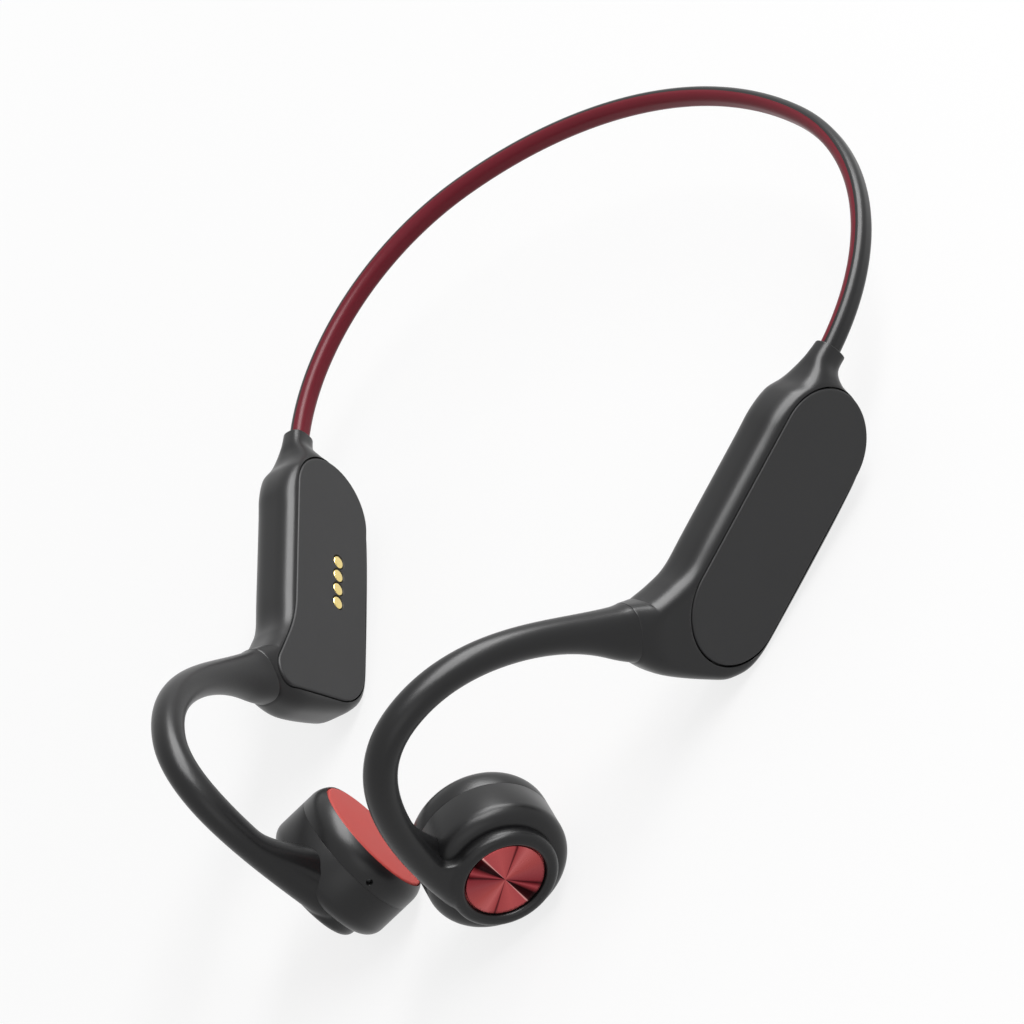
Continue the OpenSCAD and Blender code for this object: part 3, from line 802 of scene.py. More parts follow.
# Inner pieces that keep their own solids, by finish
INNER_NODES: dict[Finish, tuple[str, ...]] = {
    SEAL_RUBBER: (*both("cover_seal"), "contact_block"),
    STEEL_PART: both("wire_anchor", "spring_plate", "yoke"),
    CABLE_SHEATH: both("hook_lead"),
    COPPER_WIRE: both("voice_coil"),
    NICKEL_PLATE: (*both("magnet"), "charging_magnets"),
    CELL_FOIL: ("battery",),
    BOARD_GREEN: ("battery_board", "main_board"),
    SWITCH_METAL: ("multifunction_switch", "volume_switches", "microphone"),
}


# The assembly


@dataclass(frozen=True)
class Stand:
    """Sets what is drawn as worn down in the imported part's frame."""

    matrix: Matrix

    @classmethod
    def from_frame(cls, frame: dict[str, Any], pad_centre: Array) -> "Stand":
        """Works out the lean from a joint's axis, and the place from a mount.

        Args:
            pad_centre: Middle of the left pad as worn, in millimetres.

        Returns:
            The stand.
        """
        spread = next(j for j in frame["joints"] if j["name"] == "left_spread")
        _, back, up = spread["axis"]
        lean = Matrix.Rotation(math.atan2(-back, up), 4, "X")
        mount = next(m for m in frame["record"]["mounts"] if m["name"] == "left_pad_face")
        shift = Vector(mount["pos_m"]) - lean @ Vector(pad_centre * MM)
        return cls(Matrix.Translation(shift) @ lean @ Matrix.Scale(MM, 4))

    def placed(self, piece: Piece, side: Side, finish: Finish) -> Piece:
        """Takes a finished workpiece to its place and dresses it.

        Args:
            piece: Workpiece drawn on the left side, in millimetres.
            side: Side that it belongs to.
            finish: Its finish.

        Returns:
            The same piece.
        """
        piece.data.transform(self.matrix @ side.mirror)
        if side is Side.RIGHT:
            piece.data.flip_normals()
        piece.data.shade_smooth()
        piece.data.set_sharp_from_angle(angle=CREASE)
        finish.dress(piece.data)
        return piece

    def rides(
        self, piece: Piece, side: Side, finish: Finish, *nodes: str, body: str | None = None
    ) -> Piece:
        """Places a piece, lets it ride on its body and lets it stand for its solids.

        Args:
            piece: Workpiece drawn on the left side, in millimetres.
            side: Side that it belongs to.
            finish: Its finish.
            nodes: Solids that it replaces.
            body: Body that it rides on, where that isn't the side's arm.

        Returns:
            The same piece.
        """
        self.placed(piece, side, finish)
        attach(piece, body or side.arm)
        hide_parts(*nodes)
        return piece


@dataclass(frozen=True)
class Band:
    """Neck band: a three-centred arch of a cover, a strip, a sprung wire and a cable."""

    half_w: float = 53.8
    rear_radius: float = 67.0
    side_radius: float = 40.0
    height: float = 3.4
    thickness: float = 2.6
    outer_t: float = 1.2
    wire_d: float = 1.0
    cable_d: float = 0.9
    # Gaps that keep the wire below the section's middle and the cable above it
    wire_drop: float = 0.15
    cable_rise: float = 0.25
    toe_in: float = 19.0
    boot_depth: float = 3.2
    anchor_len: float = 3.0
    cable_tail: float = 7.4
    # Round on the edges where the cover and the strip meet, seen as a fine line
    split_r: float = 0.16
    # Thinness that keeps the smooth skin inside the faceted solid
    skin: float = 0.005
    # Length of band for each ring of its skin
    pitch: float = 0.9

    @property
    def side_centre(self) -> Array:
        """Centre of the arc round the left side of the neck.

        Returns:
            The centre, as worn.
        """
        turn = math.radians(self.toe_in)
        y = self.side_radius * math.sin(turn) - self.boot_depth * math.cos(turn)
        return np.array([self.half_w - self.side_radius, y, 0.0])

    @property
    def boot_mouth(self) -> Array:
        """Middle of the left boot's mouth."""
        rim = self.side_centre + self.side_radius * outward(self.toe_in)
        return rim - self.boot_depth * onward(self.toe_in)

    def stops(self, tail: float = 0.0) -> list[tuple[Array, Array]]:
        """Places and outward directions along the left half, from the rear middle to the boot.

        Args:
            tail: Straight length beyond the band's end.

        Returns:
            Pairs of place and direction.
        """
        centre = self.side_centre
        drop = math.sqrt((self.rear_radius - self.side_radius) ** 2 - centre[0] ** 2)
        join = math.atan2(drop, centre[0])
        rear_centre = centre - np.array([centre[0], drop, 0.0])
        end = -math.radians(self.toe_in)
        found = []
        for middle, radius, start, last in (
            (rear_centre, self.rear_radius, math.pi / 2, join),
            (centre, self.side_radius, join, end),
        ):
            count = max(2, round(radius * (start - last) / self.pitch))
            for turn in np.linspace(start, last, count + 1):
                out = np.array([math.cos(turn), math.sin(turn), 0.0])
                found.append((middle + radius * out, out))
        place, out = found[-1]
        if tail:
            found.append((place + tail * np.array([out[1], -out[0], 0.0]), out))
        return found

    def swept(self, outline: Array, tail: float = 0.0) -> Blank:
        """Skin of an outline along the left half.

        Args:
            outline: Points outward and up.
            tail: Straight length beyond the band's end.

        Returns:
            The skin.
        """
        across, rise = outline[:, 0], np.outer(outline[:, 1], UP)
        return lofted([place + np.outer(across, out) + rise for place, out in self.stops(tail)])

    def half_outline(self, depth: float) -> Array:
        """Half of the band's section, from the split to a face, with rounded split edges.

        Args:
            depth: Distance of the face from the split.

        Returns:
            Points outward and up.
        """
        r, e = self.thickness / 2, self.split_r
        middle, rise = depth - r, (self.height - self.thickness) / 2
        reach = math.degrees(math.acos(-middle / r))
        skirt = arc([middle, -rise], r, -reach, 0, 12)
        crest = arc([middle, rise], r, 0, reach, 12)
        top = crest[-1][1]
        # The lip leaves the split nearly square and takes the place of the arcs' last two points
        lip = np.array([[0.05 * e, top - 0.3 * e], [0.0, top - e]])
        body = np.vstack([skirt[2:], crest[:-2]])
        return np.vstack([lip[::-1] * [1, -1], body, lip])

    def build(self, stand: Stand, side: Side) -> list[Piece]:
        """Makes one half of the band.

        Args:
            stand: Stand that sets the pieces down.
            side: Half to make.

        Returns:
            The pieces.
        """
        outer = self.half_outline(self.outer_t - self.skin)
        inner = self.half_outline(self.thickness - self.outer_t) * [-1, 1]
        wire = circle([0, -self.wire_d / 2 - self.wire_drop], self.wire_d)
        cable = circle([0, self.cable_d / 2 + self.cable_rise], self.cable_d)
        plan = (
            ("band_cover", "band_outer_cover", outer, 0.0, CHARCOAL_SILICONE),
            ("band_strip", "band_inner_strip", inner, 0.0, RED_SILICONE),
            ("band_wire", "band_core", wire, self.anchor_len, SPRING_WIRE),
            ("band_lead", "band_cable", cable, self.cable_tail, CABLE_SHEATH),
        )
        made = []
        for name, node, outline, tail, finish in plan:
            piece = workpiece(f"{side.value}_{name}", self.swept(outline, tail))
            stand.placed(piece, side, finish)
            side.arm
            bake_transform(piece)
            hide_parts(node)
            made.append(piece)
        return made


# Profiles of the charging contacts' holes and caps, as shares of a contact's radius and heights
# above the cover's face in millimetres
CONTACT_HOLE: Pairs = ((0, -3), (1.1, -3), (1.1, -0.15), (1.2, 0.05), (1.3, 0.3), (0, 0.3))
CONTACT_SHANK: Pairs = ((0, -1.9), (0.96, -1.9), (0.96, -0.16))
CONTACT_CROWN: Pairs = ((0.93, -0.09), (0.82, -0.02), (0.6, 0.03), (0.3, 0.05), (0, 0.06))


@dataclass(frozen=True)
class Pod:
    """Pod: a moulded shell with a boot for the band, and a cover let into each face."""

    band: Band
    boot_h: float = 4.8
    boot_t: float = 3.8
    neck_len: float = 5.0
    cover_len: float = 43.0
    cover_h: float = 16.6
    cover_drop: float = 5.0
    cover_tilt: float = 1.6
    # Distance by which the covers' rear end reaches back into the neck
    cover_back: float = 0.5
    roof_h: float = 2.05
    sill_h: float = 1.24
    pod_t: float = 7.8
    cover_t: float = 1.2
    seal_t: float = 0.4
    ledge_w: float = 1.2
    # The hook's root: its section, its slant, and its place ahead of and above the outer cover
    root_h: float = 8.6
    root_t: float = 6.6
    root_rise: float = 44.0
    root_ahead: float = 3.65
    root_above: float = 3.5
    seam_gap: float = 0.2
    # The inner cover's nose: its round, its place past the outer cover's end and roof, the reach of
    # the round below it and the length of the hollow curve behind it
    nose_r: float = 3.0
    nose_ahead: float = 1.4
    nose_above: float = 0.7
    inner_reach: float = 1.2
    hollow_len: float = 4.0
    # Extra half thickness of the sections, which the flat faces cut off again, and softness of the
    # turn from rounded edges to faces
    slab_extra: float = 0.5
    face_blend: float = 0.35
    # Squareness of the section's upper half, the thickness that keeps its face flat up to the
    # covers, and the share of the full thickness at which that sets in
    roof_square: float = 3.2
    roof_swell: float = 0.6
    swell_from: float = 0.75
    # Tunnel for the wire's anchor: half its height, half its thickness, squareness and reach
    tunnel_h: float = 1.6
    tunnel_t: float = 1.1
    tunnel_square: float = 4.0
    tunnel_reach: float = 2.5
    # Boot round the band: squareness, play behind the band's end, round of its mouth, and depths
    # and clearances from the foot to the mouth
    boot_square: float = 2.5
    boot_play: float = 0.1
    lip_r: float = 0.16
    boot_middle: float = 0.8
    boot_gaps: tuple[float, float, float] = (0.26, 0.16, 0.12)
    # Edge at the hook's root, and the bore for the hook's lead there
    root_edge: float = 0.1
    lead_share: float = 0.14
    lead_t: float = 0.6
    lead_depth: float = 13.0
    # Rounds on the rims of the covers' recesses and on the covers' own edges
    rim_r: float = 0.22
    edge_r: float = 0.3
    ring_points: int = 128
    ring_steps: int = 9
    outline_points: int = 320
    contact_count: int = 4
    contact_d: float = 2.2
    contact_pitch: float = 2.6
    contact_x: float = 0.6
    contact_y: float = -1.5
    volume_len: float = 6.0
    volume_w: float = 2.4
    volume_pitch: float = 10.0
    volume_proud: float = 0.3
    # Round on a volume button's face, and width and thickness of the lip that keeps it in
    volume_edge: float = 0.3
    volume_lip: float = 0.6
    volume_lip_t: float = 0.5
    slide_gap: float = 0.2

    @property
    def half(self) -> float:
        """Half of the pod's thickness."""
        return self.pod_t / 2

    @property
    def slab(self) -> float:
        """Half of the sections' thickness before their faces are flattened."""
        return self.half + self.slab_extra

    @property
    def cover_r(self) -> float:
        """Radius of the outer cover's ends."""
        return self.cover_h / 2

    @property
    def cover_rear(self) -> float:
        """Distance of the covers' rear end from the boot's mouth."""
        return self.neck_len - self.cover_back

    @property
    def cover_front(self) -> float:
        """Distance of the outer cover's front end from the boot's mouth."""
        return self.cover_rear + self.cover_len

    @property
    def cover_z(self) -> float:
        """Height of the covers' middle."""
        return -self.cover_drop

    @property
    def root(self) -> Array:
        """Middle of the hook's root, as distance forward and height."""
        above = self.cover_z + self.cover_r + self.root_above
        return np.array([self.cover_front + self.root_ahead, above])

    @property
    def root_up(self) -> Array:
        """Half of the root's height, as a vector of distance forward and height."""
        turn = math.radians(self.root_rise)
        return np.array([-math.sin(turn), math.cos(turn)]) * self.root_h / 2

    @property
    def outward(self) -> Array:
        """Outward direction of the left pod."""
        return outward(self.band.toe_in)

    @property
    def forward(self) -> Array:
        """Forward direction of the left pod."""
        return onward(self.band.toe_in)

    @property
    def matrix(self) -> Matrix:
        """Matrix from the pod's frame of forward, outward and up to the worn frame."""
        return posed(Vector(self.band.boot_mouth), self.forward, self.outward, UP)

    @property
    def covers(self) -> Matrix:
        """Matrix from the covers' frame, which dips forward, to the pod's frame."""
        middle = Vector((self.cover_rear + self.cover_len / 2, 0, self.cover_z))
        return Matrix.Translation(middle) @ Matrix.Rotation(math.radians(self.cover_tilt), 4, "Y")

    def sections(self) -> Array:
        """Sections from boot to root.

        Returns:
            Rows of the top's place forward and height, the bottom's place forward and height, half
            the thickness and squareness.
        """
        rear, front, r = self.cover_rear, self.cover_front, self.cover_r
        sa, sb, middle = rear + r, front - r, rear + self.cover_len / 2
        dip = math.tan(math.radians(self.cover_tilt))
        slab, mid_z = self.slab, self.cover_z
        boot_h, boot_t, neck = self.boot_h / 2, self.boot_t / 2, self.neck_len
        roof, floor = mid_z + r + self.roof_h, mid_z - r - self.sill_h

        def top(s: float) -> float:
            """Height of the roof."""
            return roof - (s - middle) * dip

        def low(s: float) -> float:
            """Height of the sill."""
            return floor - (s - middle) * dip

        (ts, tz), (ls, lz) = self.root + self.root_up, self.root - self.root_up
        return np.array(
            [
                # Boot and neck
                [0, boot_h, 0, -boot_h, boot_t, 2.6],
                [neck / 2, boot_h + 0.25, neck / 2 - 0.2, -boot_h - 0.1, boot_t + 0.3, 2.6],
                [neck - 0.2, boot_h + 0.35, rear - 0.8, -boot_h - 1.4, slab * 0.75, 2.8],
                # Swell round the covers' rear end
                [neck + 2.2, roof - 2, rear - 0.35, mid_z - 1.75, slab * 0.95, 3.2],
                [neck + 5, roof - 0.5, rear + 1.35, floor + 4.55, slab, 4.2],
                [sa + 1, top(sa + 1), sa - 2, low(sa) + 0.75, slab, 4.6],
                # Along the covers
                [sa + 6, top(sa + 6), sa + 5, low(sa + 5), slab, 5],
                [sb - 6, top(sb - 6), sb - 4, low(sb - 4), slab, 5],
                [sb, top(sb), sb + 3.9, low(sb + 3.9) + 0.5, slab, 5],
                # Turn round the covers' front end, up to the slanted root
                [sb + 3.6, top(sb) + 0.95, front - 0.35, floor + 2.25, slab, 4.6],
                [sb + 6.8, top(sb) + 2.35, front + 1.95, mid_z - 3.95, slab, 4],
                [ts - 1.65, tz - 2, ls - 1.1, lz - 5.25, slab * 0.94, 3.2],
                [ts, tz, ls, lz, self.root_t / 2, 2.5],
            ]
        )

    def ring(self, row: Array, shrink: float = 0.0, shift: float = 0.0) -> Array:
        """Points of one section.

        Args:
            row: Row of the table of sections.
            shrink: Distance by which the ring is drawn in.
            shift: Distance by which the middle moves outward.

        Returns:
            Points in the pod's frame.
        """
        top, low, half_t, square = row[:2], row[2:4], row[4], row[5]
        turn = np.linspace(0, math.tau, self.ring_points, endpoint=False)
        middle, half = (top + low) / 2, (top - low) / 2
        half = half * (1 - shrink / np.linalg.norm(half))
        above = np.sin(turn) > 0
        excess = max(0.0, square - self.roof_square)
        power = 2 / np.where(above, square - excess, square)
        full = (half_t / self.slab - self.swell_from) / (1 - self.swell_from)
        swell = self.roof_swell * min(excess, 1.0) * float(np.clip(full, 0, 1))
        rise = signed_power(np.sin(turn), power)
        wide = half_t + np.where(above, swell, 0.0) - shrink
        out = wide * signed_power(np.cos(turn), power)
        # Past the blend the section is cut off flat, at the pod's face
        near, far = self.half - self.face_blend, self.half + self.face_blend
        size = np.abs(out)
        eased_size = size - np.maximum(size - near, 0) ** 2 / (2 * (far - near))
        out = np.sign(out) * np.where(size < far, eased_size, self.half) + shift
        return np.column_stack([middle[0] + half[0] * rise, out, middle[1] + half[1] * rise])

    def boot_rings(self) -> list[Array]:
        """Rings of the boot's mouth.

        Returns:
            Rings from the anchor's tunnel out to the rounded lip.
        """
        band, mouth, lip = self.band, self.sections()[0], self.lip_r
        offset = band.outer_t - band.thickness / 2
        h, t = self.tunnel_h, band.height / 2
        tunnel = np.array([0, h, 0, -h, self.tunnel_t, self.tunnel_square])
        bore = np.array([0, t, 0, -t, band.thickness / 2, self.boot_square])
        step = np.array([1, 0, 1, 0, 0, 0])
        depth = band.boot_depth + self.boot_play
        rings = [self.ring(tunnel + step * s) for s in (self.neck_len + self.tunnel_reach, depth)]
        for s, gap in zip((depth, self.boot_middle, lip), self.boot_gaps):
            rings.append(self.ring(bore + step * s, -gap, offset))
        for drawn, back in edge_steps(lip, (30, 60)):
            rings.append(self.ring(bore + step * back, -self.boot_gaps[-1] - drawn, offset))
        for drawn, back in edge_steps(lip, (90, 60, 30)):
            rings.append(self.ring(mouth + step * back, drawn))
        return rings + [self.ring(mouth + step * lip)]

    def root_rings(self) -> list[Array]:
        """Rings of the root's end.

        Returns:
            Rings from the rounded edge to the end of the lead's bore.
        """
        row, edge = self.sections()[-1], self.root_edge
        turn = math.radians(self.root_rise)
        ahead = np.array([math.cos(turn), 0.0, math.sin(turn)])
        rings = [self.ring(row, edge * k) - ahead * edge * (1 - k) for k in (0.0, 0.4, 1.0)]
        lead, rise = row.copy(), self.root_up * self.lead_share
        lead[:2], lead[2:4] = self.root + rise, self.root - rise
        lead[4:] = self.lead_t, 2.0
        return rings + [self.ring(lead) - ahead * s for s in (edge, self.lead_depth)]

    def outer_outline(self, grow: float = 0.0) -> Array:
        """Outline of the outer cover, in the covers' frame."""
        loop = stadium(self.cover_len / 2 - self.cover_r, self.cover_r + grow, 64)
        return resampled(loop, self.outline_points)

    def inner_outline(self, grow: float = 0.0) -> Array:
        """Outline of the inner cover, whose front end is drawn up into a nose.

        Args:
            grow: Distance by which the outline grows all round.

        Returns:
            Points in the covers' frame.
        """
        end = self.cover_len / 2 - self.cover_r
        middle = np.array([end + self.inner_reach, 0.0])
        nose = np.array([self.cover_len / 2 + self.nose_ahead, self.cover_r + self.nose_above])
        r, t = self.cover_r + grow, self.nose_r + grow
        span = nose - middle
        lean = math.degrees(math.atan2(span[1], span[0]))
        turn = math.degrees(math.acos((r - t) / np.linalg.norm(span)))
        low, high = lean - turn, lean + turn
        tip = arc(nose, t, low, high, 48)
        foot = tip[-1][0] - (tip[-1][1] - r) / math.tan(math.radians(high - 90))
        # The line from the roof up to the nose is eased with a hollow curve
        reach = min(self.hollow_len, tip[-1][0] - foot)
        corner = np.array([foot, r])
        up, back = unit(tip[-1] - corner), np.array([-1.0, 0.0])
        hollow = [
            corner + up * reach * (1 - k) ** 2 + back * reach * k * k for k in np.linspace(0, 1, 12)
        ]
        rear, front = arc([-end, 0], r, 90, 270, 64), arc(middle, r, 270, 360 + low, 64)
        return resampled(np.vstack([rear, front, tip, hollow]), self.outline_points)

    def level(self, outline: Array, out: float) -> Array:
        """Sets an outline at a distance outward.

        Args:
            outline: Points in the covers' frame.
            out: Distance outward.

        Returns:
            Points in the pod's frame.
        """
        flat = np.column_stack([outline[:, 0], np.full(len(outline), out), outline[:, 1]])
        turn = np.array(self.covers.to_3x3())
        return flat @ turn.T + np.array(self.covers.translation)

    def spool(self) -> Blank:
        """Cutter for both recesses, with flared rims, and for the hollow between them.

        Returns:
            The cutter, in the pod's frame.
        """
        gap, half = self.seam_gap, self.half
        flare = (65, 52, 39, 26, 13, 0)
        steps = [(gap + drawn, half - back) for drawn, back in edge_steps(self.rim_r, flare)]
        # The flare runs on straight until it is clear of the shell
        run, lean = 1.5, math.radians(flare[0])
        grow, out = steps[0]
        steps.insert(0, (grow + run * math.sin(lean), out + run * math.cos(lean)))
        ledge, floor = half - self.cover_t - self.seal_t, half - self.cover_t
        pocket = self.outer_outline(-self.ledge_w)
        rings = [self.level(self.outer_outline(g), o) for g, o in steps + [(gap, ledge)]]
        rings += [self.level(pocket, ledge), self.level(pocket, -floor)]
        rings += [self.level(self.inner_outline(g), -o) for g, o in [(gap, floor)] + steps[::-1]]
        return lofted(rings)

    def plate(self, outline: Callable[[float], Array], face: float) -> Blank:
        """Cover plate with a rounded rim.

        Args:
            outline: Method that gives the outline, grown by a distance.
            face: Distance outward of its face, negative on the inner side.

        Returns:
            The plate, in the pod's frame.
        """
        inward, e = -math.copysign(1.0, face), self.edge_r
        back = face + inward * self.cover_t
        rings = [self.level(outline(-1.0), back), self.level(outline(0.0), back)]
        for drawn, low in edge_steps(e, (0, 22, 45, 68, 90)):
            rings.append(self.level(outline(-drawn), face + inward * low))
        rings.append(self.level(outline(-2 * e), face))
        return lofted(rings)

    def pins(self, profile: Pairs) -> list[Blank]:
        """Lathed blank at each charging contact.

        Args:
            profile: Pairs of a share of the contact's radius and a height out of the inner cover.

        Returns:
            The blanks, in the pod's frame.
        """
        turn = self.covers.to_3x3().to_4x4() @ Matrix.Rotation(math.radians(90), 4, "X")
        shape = np.array([(r * (self.contact_d / 2), z) for r, z in profile])
        first = (1 - self.contact_count) / 2
        made = []
        for k in range(self.contact_count):
            x = self.contact_x + (first + k) * self.contact_pitch
            place = self.covers @ Vector((x, -self.half, self.contact_y))
            made.append(lathed(shape, 40).moved(Matrix.Translation(place) @ turn))
        return made

    def volume_blank(self, grow: float, levels: Pairs, across: float) -> Blank:
        """Volume button, or the slot for one, lofted upward.

        Args:
            grow: Distance by which the button's outline grows all round.
            levels: Pairs of further growth and height.
            across: Place of its middle along the covers.

        Returns:
            The blank, in the pod's frame.
        """
        end = (self.volume_len - self.volume_w) / 2
        rings = []
        for extra, height in levels:
            loop = stadium(end, self.volume_w / 2 + grow + extra, 24) + [across, 0]
            rings.append(np.column_stack([loop, np.full(len(loop), height)]))
        return lofted(rings).moved(self.covers)

    def build(self, stand: Stand, side: Side) -> list[Piece]:
        """Makes one pod's shell and covers, and the right pod's contacts and volume buttons.

        Args:
            stand: Stand that sets the pieces down.
            side: Side to make.

        Returns:
            The pieces.
        """
        rows = smooth_rows(self.sections(), self.ring_steps)
        body = self.boot_rings() + [self.ring(row) for row in rows[1:-1]] + self.root_rings()
        name = side.value
        shell = workpiece(f"{name}_shell", lofted(body))
        outer = workpiece(f"{name}_cover_plate", self.plate(self.outer_outline, self.half))
        inner = workpiece(f"{name}_inner_plate", self.plate(self.inner_outline, -self.half))
        cut(shell, self.spool())
        if side is Side.RIGHT:
            self.cut_right(shell, inner)
        plan = (
            (shell, SATIN_SHELL, "pod_shell"),
            (outer, MATTE_COVER, "outer_cover"),
            (inner, MATTE_COVER, "inner_cover"),
        )
        made = []
        for piece, finish, node in plan:
            piece.data.transform(self.matrix)
            made.append(stand.rides(piece, side, finish, f"{name}_{node}"))
        return made + (self.build_right(stand) if side is Side.RIGHT else [])

    def cut_right(self, shell: Piece, inner: Piece) -> None:
        """Cuts the volume buttons' slots and the contacts' holes.

        Args:
            shell: Shell of the right pod.
            inner: Its inner cover.
        """
        # The slots reach a millimetre past the shell on both sides
        low = -self.cover_r - self.sill_h - 1
        levels = [(0.0, low), (0.0, -self.cover_r + self.ledge_w + 1)]
        for k in (-1, 1):
            cut(shell, self.volume_blank(self.slide_gap, levels, k * self.volume_pitch / 2))
        cut(inner, *self.pins(CONTACT_HOLE))

    def build_right(self, stand: Stand) -> list[Piece]:
        """Makes the gold contacts and the two volume buttons of the right pod.

        Args:
            stand: Stand that sets the pieces down.

        Returns:
            The pieces.
        """
        first, *others = self.pins((*CONTACT_SHANK, *CONTACT_CROWN))
        contacts = workpiece("gold_contacts", sum(others, first))
        contacts.data.transform(self.matrix)
        made = [stand.rides(contacts, Side.RIGHT, GOLD_PLATE, "charging_contacts")]
        e, lip = self.volume_edge, self.volume_lip
        low = -self.cover_r - self.sill_h - self.volume_proud
        top = -self.cover_r + self.ledge_w + lip
        shelf = top - self.volume_lip_t
        levels = [(-2 * e, low), (-e, low), (-0.3 * e, low + 0.3 * e), (0.0, low + e)]
        levels += [(0.0, shelf), (lip, shelf), (lip, top)]
        for name, k in (("volume_up_button", 1), ("volume_down_button", -1)):
            key = self.volume_blank(0.0, levels, k * self.volume_pitch / 2)
            piece = workpiece(f"{name}_key", key)
            piece.data.transform(self.matrix)
            made.append(stand.rides(piece, Side.RIGHT, CHARCOAL_SILICONE, name, body=name))
        return made


@dataclass(frozen=True)
class Driver:
    """Bone driver: a two-part drum with a coral pad on the skin side and a red disc behind."""

    pad_gap: float = 19.2
    forward: float = 72.5
    drop: float = 1.3
    face_turn: float = 45.0
    drum_d: float = 21.0
    drum_len: float = 11.2
    front_len: float = 4.2
    shoulder_r: float = 2.4
    lip_len: float = 2.4
    # Height of the front housing's rim where it meets the pad
    rim_h: float = 0.12
    pad_d: float = 18.8
    pad_t: float = 1.2
    pad_proud: float = 0.3
    pad_rim: float = 0.4
    pad_crown: float = 0.12
    # Width and thickness of the shelf behind the pad
    shelf_w: float = 1.2
    shelf_t: float = 0.8
    drum_wall: float = 1.2
    # Boss under the rear housing's roof, seat for the yoke there, and well for the switch above
    boss_r: float = 4.0
    boss_d: float = 2.0
    seat_w: float = 1.0
    seat_d: float = 4.0
    well_r: float = 2.7
    well_d: float = 1.2
    cap_d: float = 16.0
    cap_h: float = 2.1
    disc_d: float = 11.6
    # How far the disc lies below the ring's face, how deep its middle is, how far its face rises to
    # the rim, and the width of the rim's chamfer and where that ends
    disc_sink: float = 0.3
    disc_dish: float = 0.3
    disc_rise: float = 0.22
    disc_chamfer: float = 0.2
    disc_drop: float = 0.26
    # Width and thickness of the flange that holds the pressable disc
    flange_w: float = 0.6
    flange_t: float = 0.3
    # Clearances between fixed pieces, between sliding ones and between the drum's two parts
    bore_gap: float = 0.1
    slide_gap: float = 0.2
    part_gap: float = 0.02
    press_travel: float = 0.4
    disc_cuts: int = 16
    # Depth of the facets on the disc's face, and of the seam between the drum's two parts
    facet: float = 0.06
    seam: float = 0.045
    # The microphone's hole: its angle round the drum, its width and its height above the pad
    mic_angle: float = -106.0
    mic_hole_d: float = 0.8
    mic_z: float = 2.0
    round_points: int = 160

    @property
    def radius(self) -> float:
        """Radius of the drum."""
        return self.drum_d / 2

    @property
    def bore(self) -> float:
        """Radius of the drum's hollow."""
        return self.radius - self.drum_wall

    @property
    def shoulder(self) -> Array:
        """Profile of the drum's rounded shoulder."""
        r = self.shoulder_r
        return arc([self.radius - r, self.drum_len - r], r, 0, 90, 16)

    @property
    def cap_r(self) -> float:
        """Radius of the ring round the disc."""
        return self.cap_d / 2

    @property
    def cap_top(self) -> float:
        """Height of the ring's face above the pad's face."""
        return self.drum_len + self.cap_h

    @property
    def cap_bore(self) -> float:
        """Radius of the opening round the disc."""
        return self.disc_d / 2 + self.slide_gap

    @property
    def flange_r(self) -> float:
        """Radius of the flange that holds the pressable disc."""
        return self.cap_bore + self.flange_w

    @property
    def flange_z(self) -> float:
        """Height of the flange above the pad's face."""
        return self.drum_len + self.press_travel + self.bore_gap

    @property
    def pad_centre(self) -> Array:
        """Middle of the left pad's face, as worn."""
        return np.array([self.pad_gap / 2, -self.forward, -self.drop])

    @property
    def axis(self) -> Array:
        """Outward direction of the left drum."""
        return outward(self.face_turn)

    @property
    def sideways(self) -> Array:
        """Direction from the drum's axis to the hook's arm."""
        return onward(self.face_turn)

    @property
    def matrix(self) -> Matrix:
        """Matrix from the drum's frame, whose Z runs outward from the pad, to the worn frame."""
        turn = Matrix.Rotation(math.radians(-self.face_turn), 4, "Z") @ TO_X
        return Matrix.Translation(Vector(self.pad_centre)) @ turn

    def rear_profile(self, switch_well: bool) -> Array:
        """Profile of the rear housing.

        Args:
            switch_well: Whether it has a well for the switch under the pressable disc.

        Returns:
            Pairs of radius and height.
        """
        r, bore, low, top, e = self.radius, self.bore, self.front_len, self.drum_len, self.seam
        foot = [[bore, low], [r - 2 * e, low], [r - 0.4 * e, low + 0.3 * e], [r, low + 1.4 * e]]
        floor = top - self.well_d
        well = [[self.well_r, top], [self.well_r, floor], [0, floor]] if switch_well else [[0, top]]
        boss, roof, seat_z = top - self.boss_d, top - self.drum_wall, top - self.seat_d
        seat = bore - self.seat_w
        inside = [[0, boss], [self.boss_r, boss], [self.boss_r, roof], [seat, roof]]
        inside += [[seat, seat_z], [bore, seat_z]]
        return np.vstack([foot, self.shoulder, well, inside])

    def front_profile(self) -> Array:
        """Profile of the front housing, with its rounded lip round the pad.

        Returns:
            Pairs of radius and height.
        """
        r, e, lip, bore = self.radius, self.seam, self.lip_len, self.bore
        pad_r, top = self.pad_d / 2, self.front_len
        seat, end = pad_r + self.bore_gap, top - self.part_gap
        drop = r - pad_r - 2 * self.bore_gap
        bend = (lip**2 + drop**2) / (2 * drop)
        lean = math.degrees(math.asin(lip / bend))
        face = arc([r - bend, self.pad_proud + lip], bend, -lean, 0, 16)
        rim = [[seat, self.pad_proud + self.rim_h]]
        seam = [[r, top - 1.4 * e], [r - 0.4 * e, top - 0.3 * e], [r - 2 * e, end]]
        shelf, shelf_z = pad_r - self.shelf_w, self.pad_t + self.shelf_t
        inside = [[bore, end], [bore, shelf_z], [shelf, shelf_z]]
        inside += [[shelf, self.pad_t], [seat, self.pad_t]]
        return np.vstack([rim, face, seam, inside])

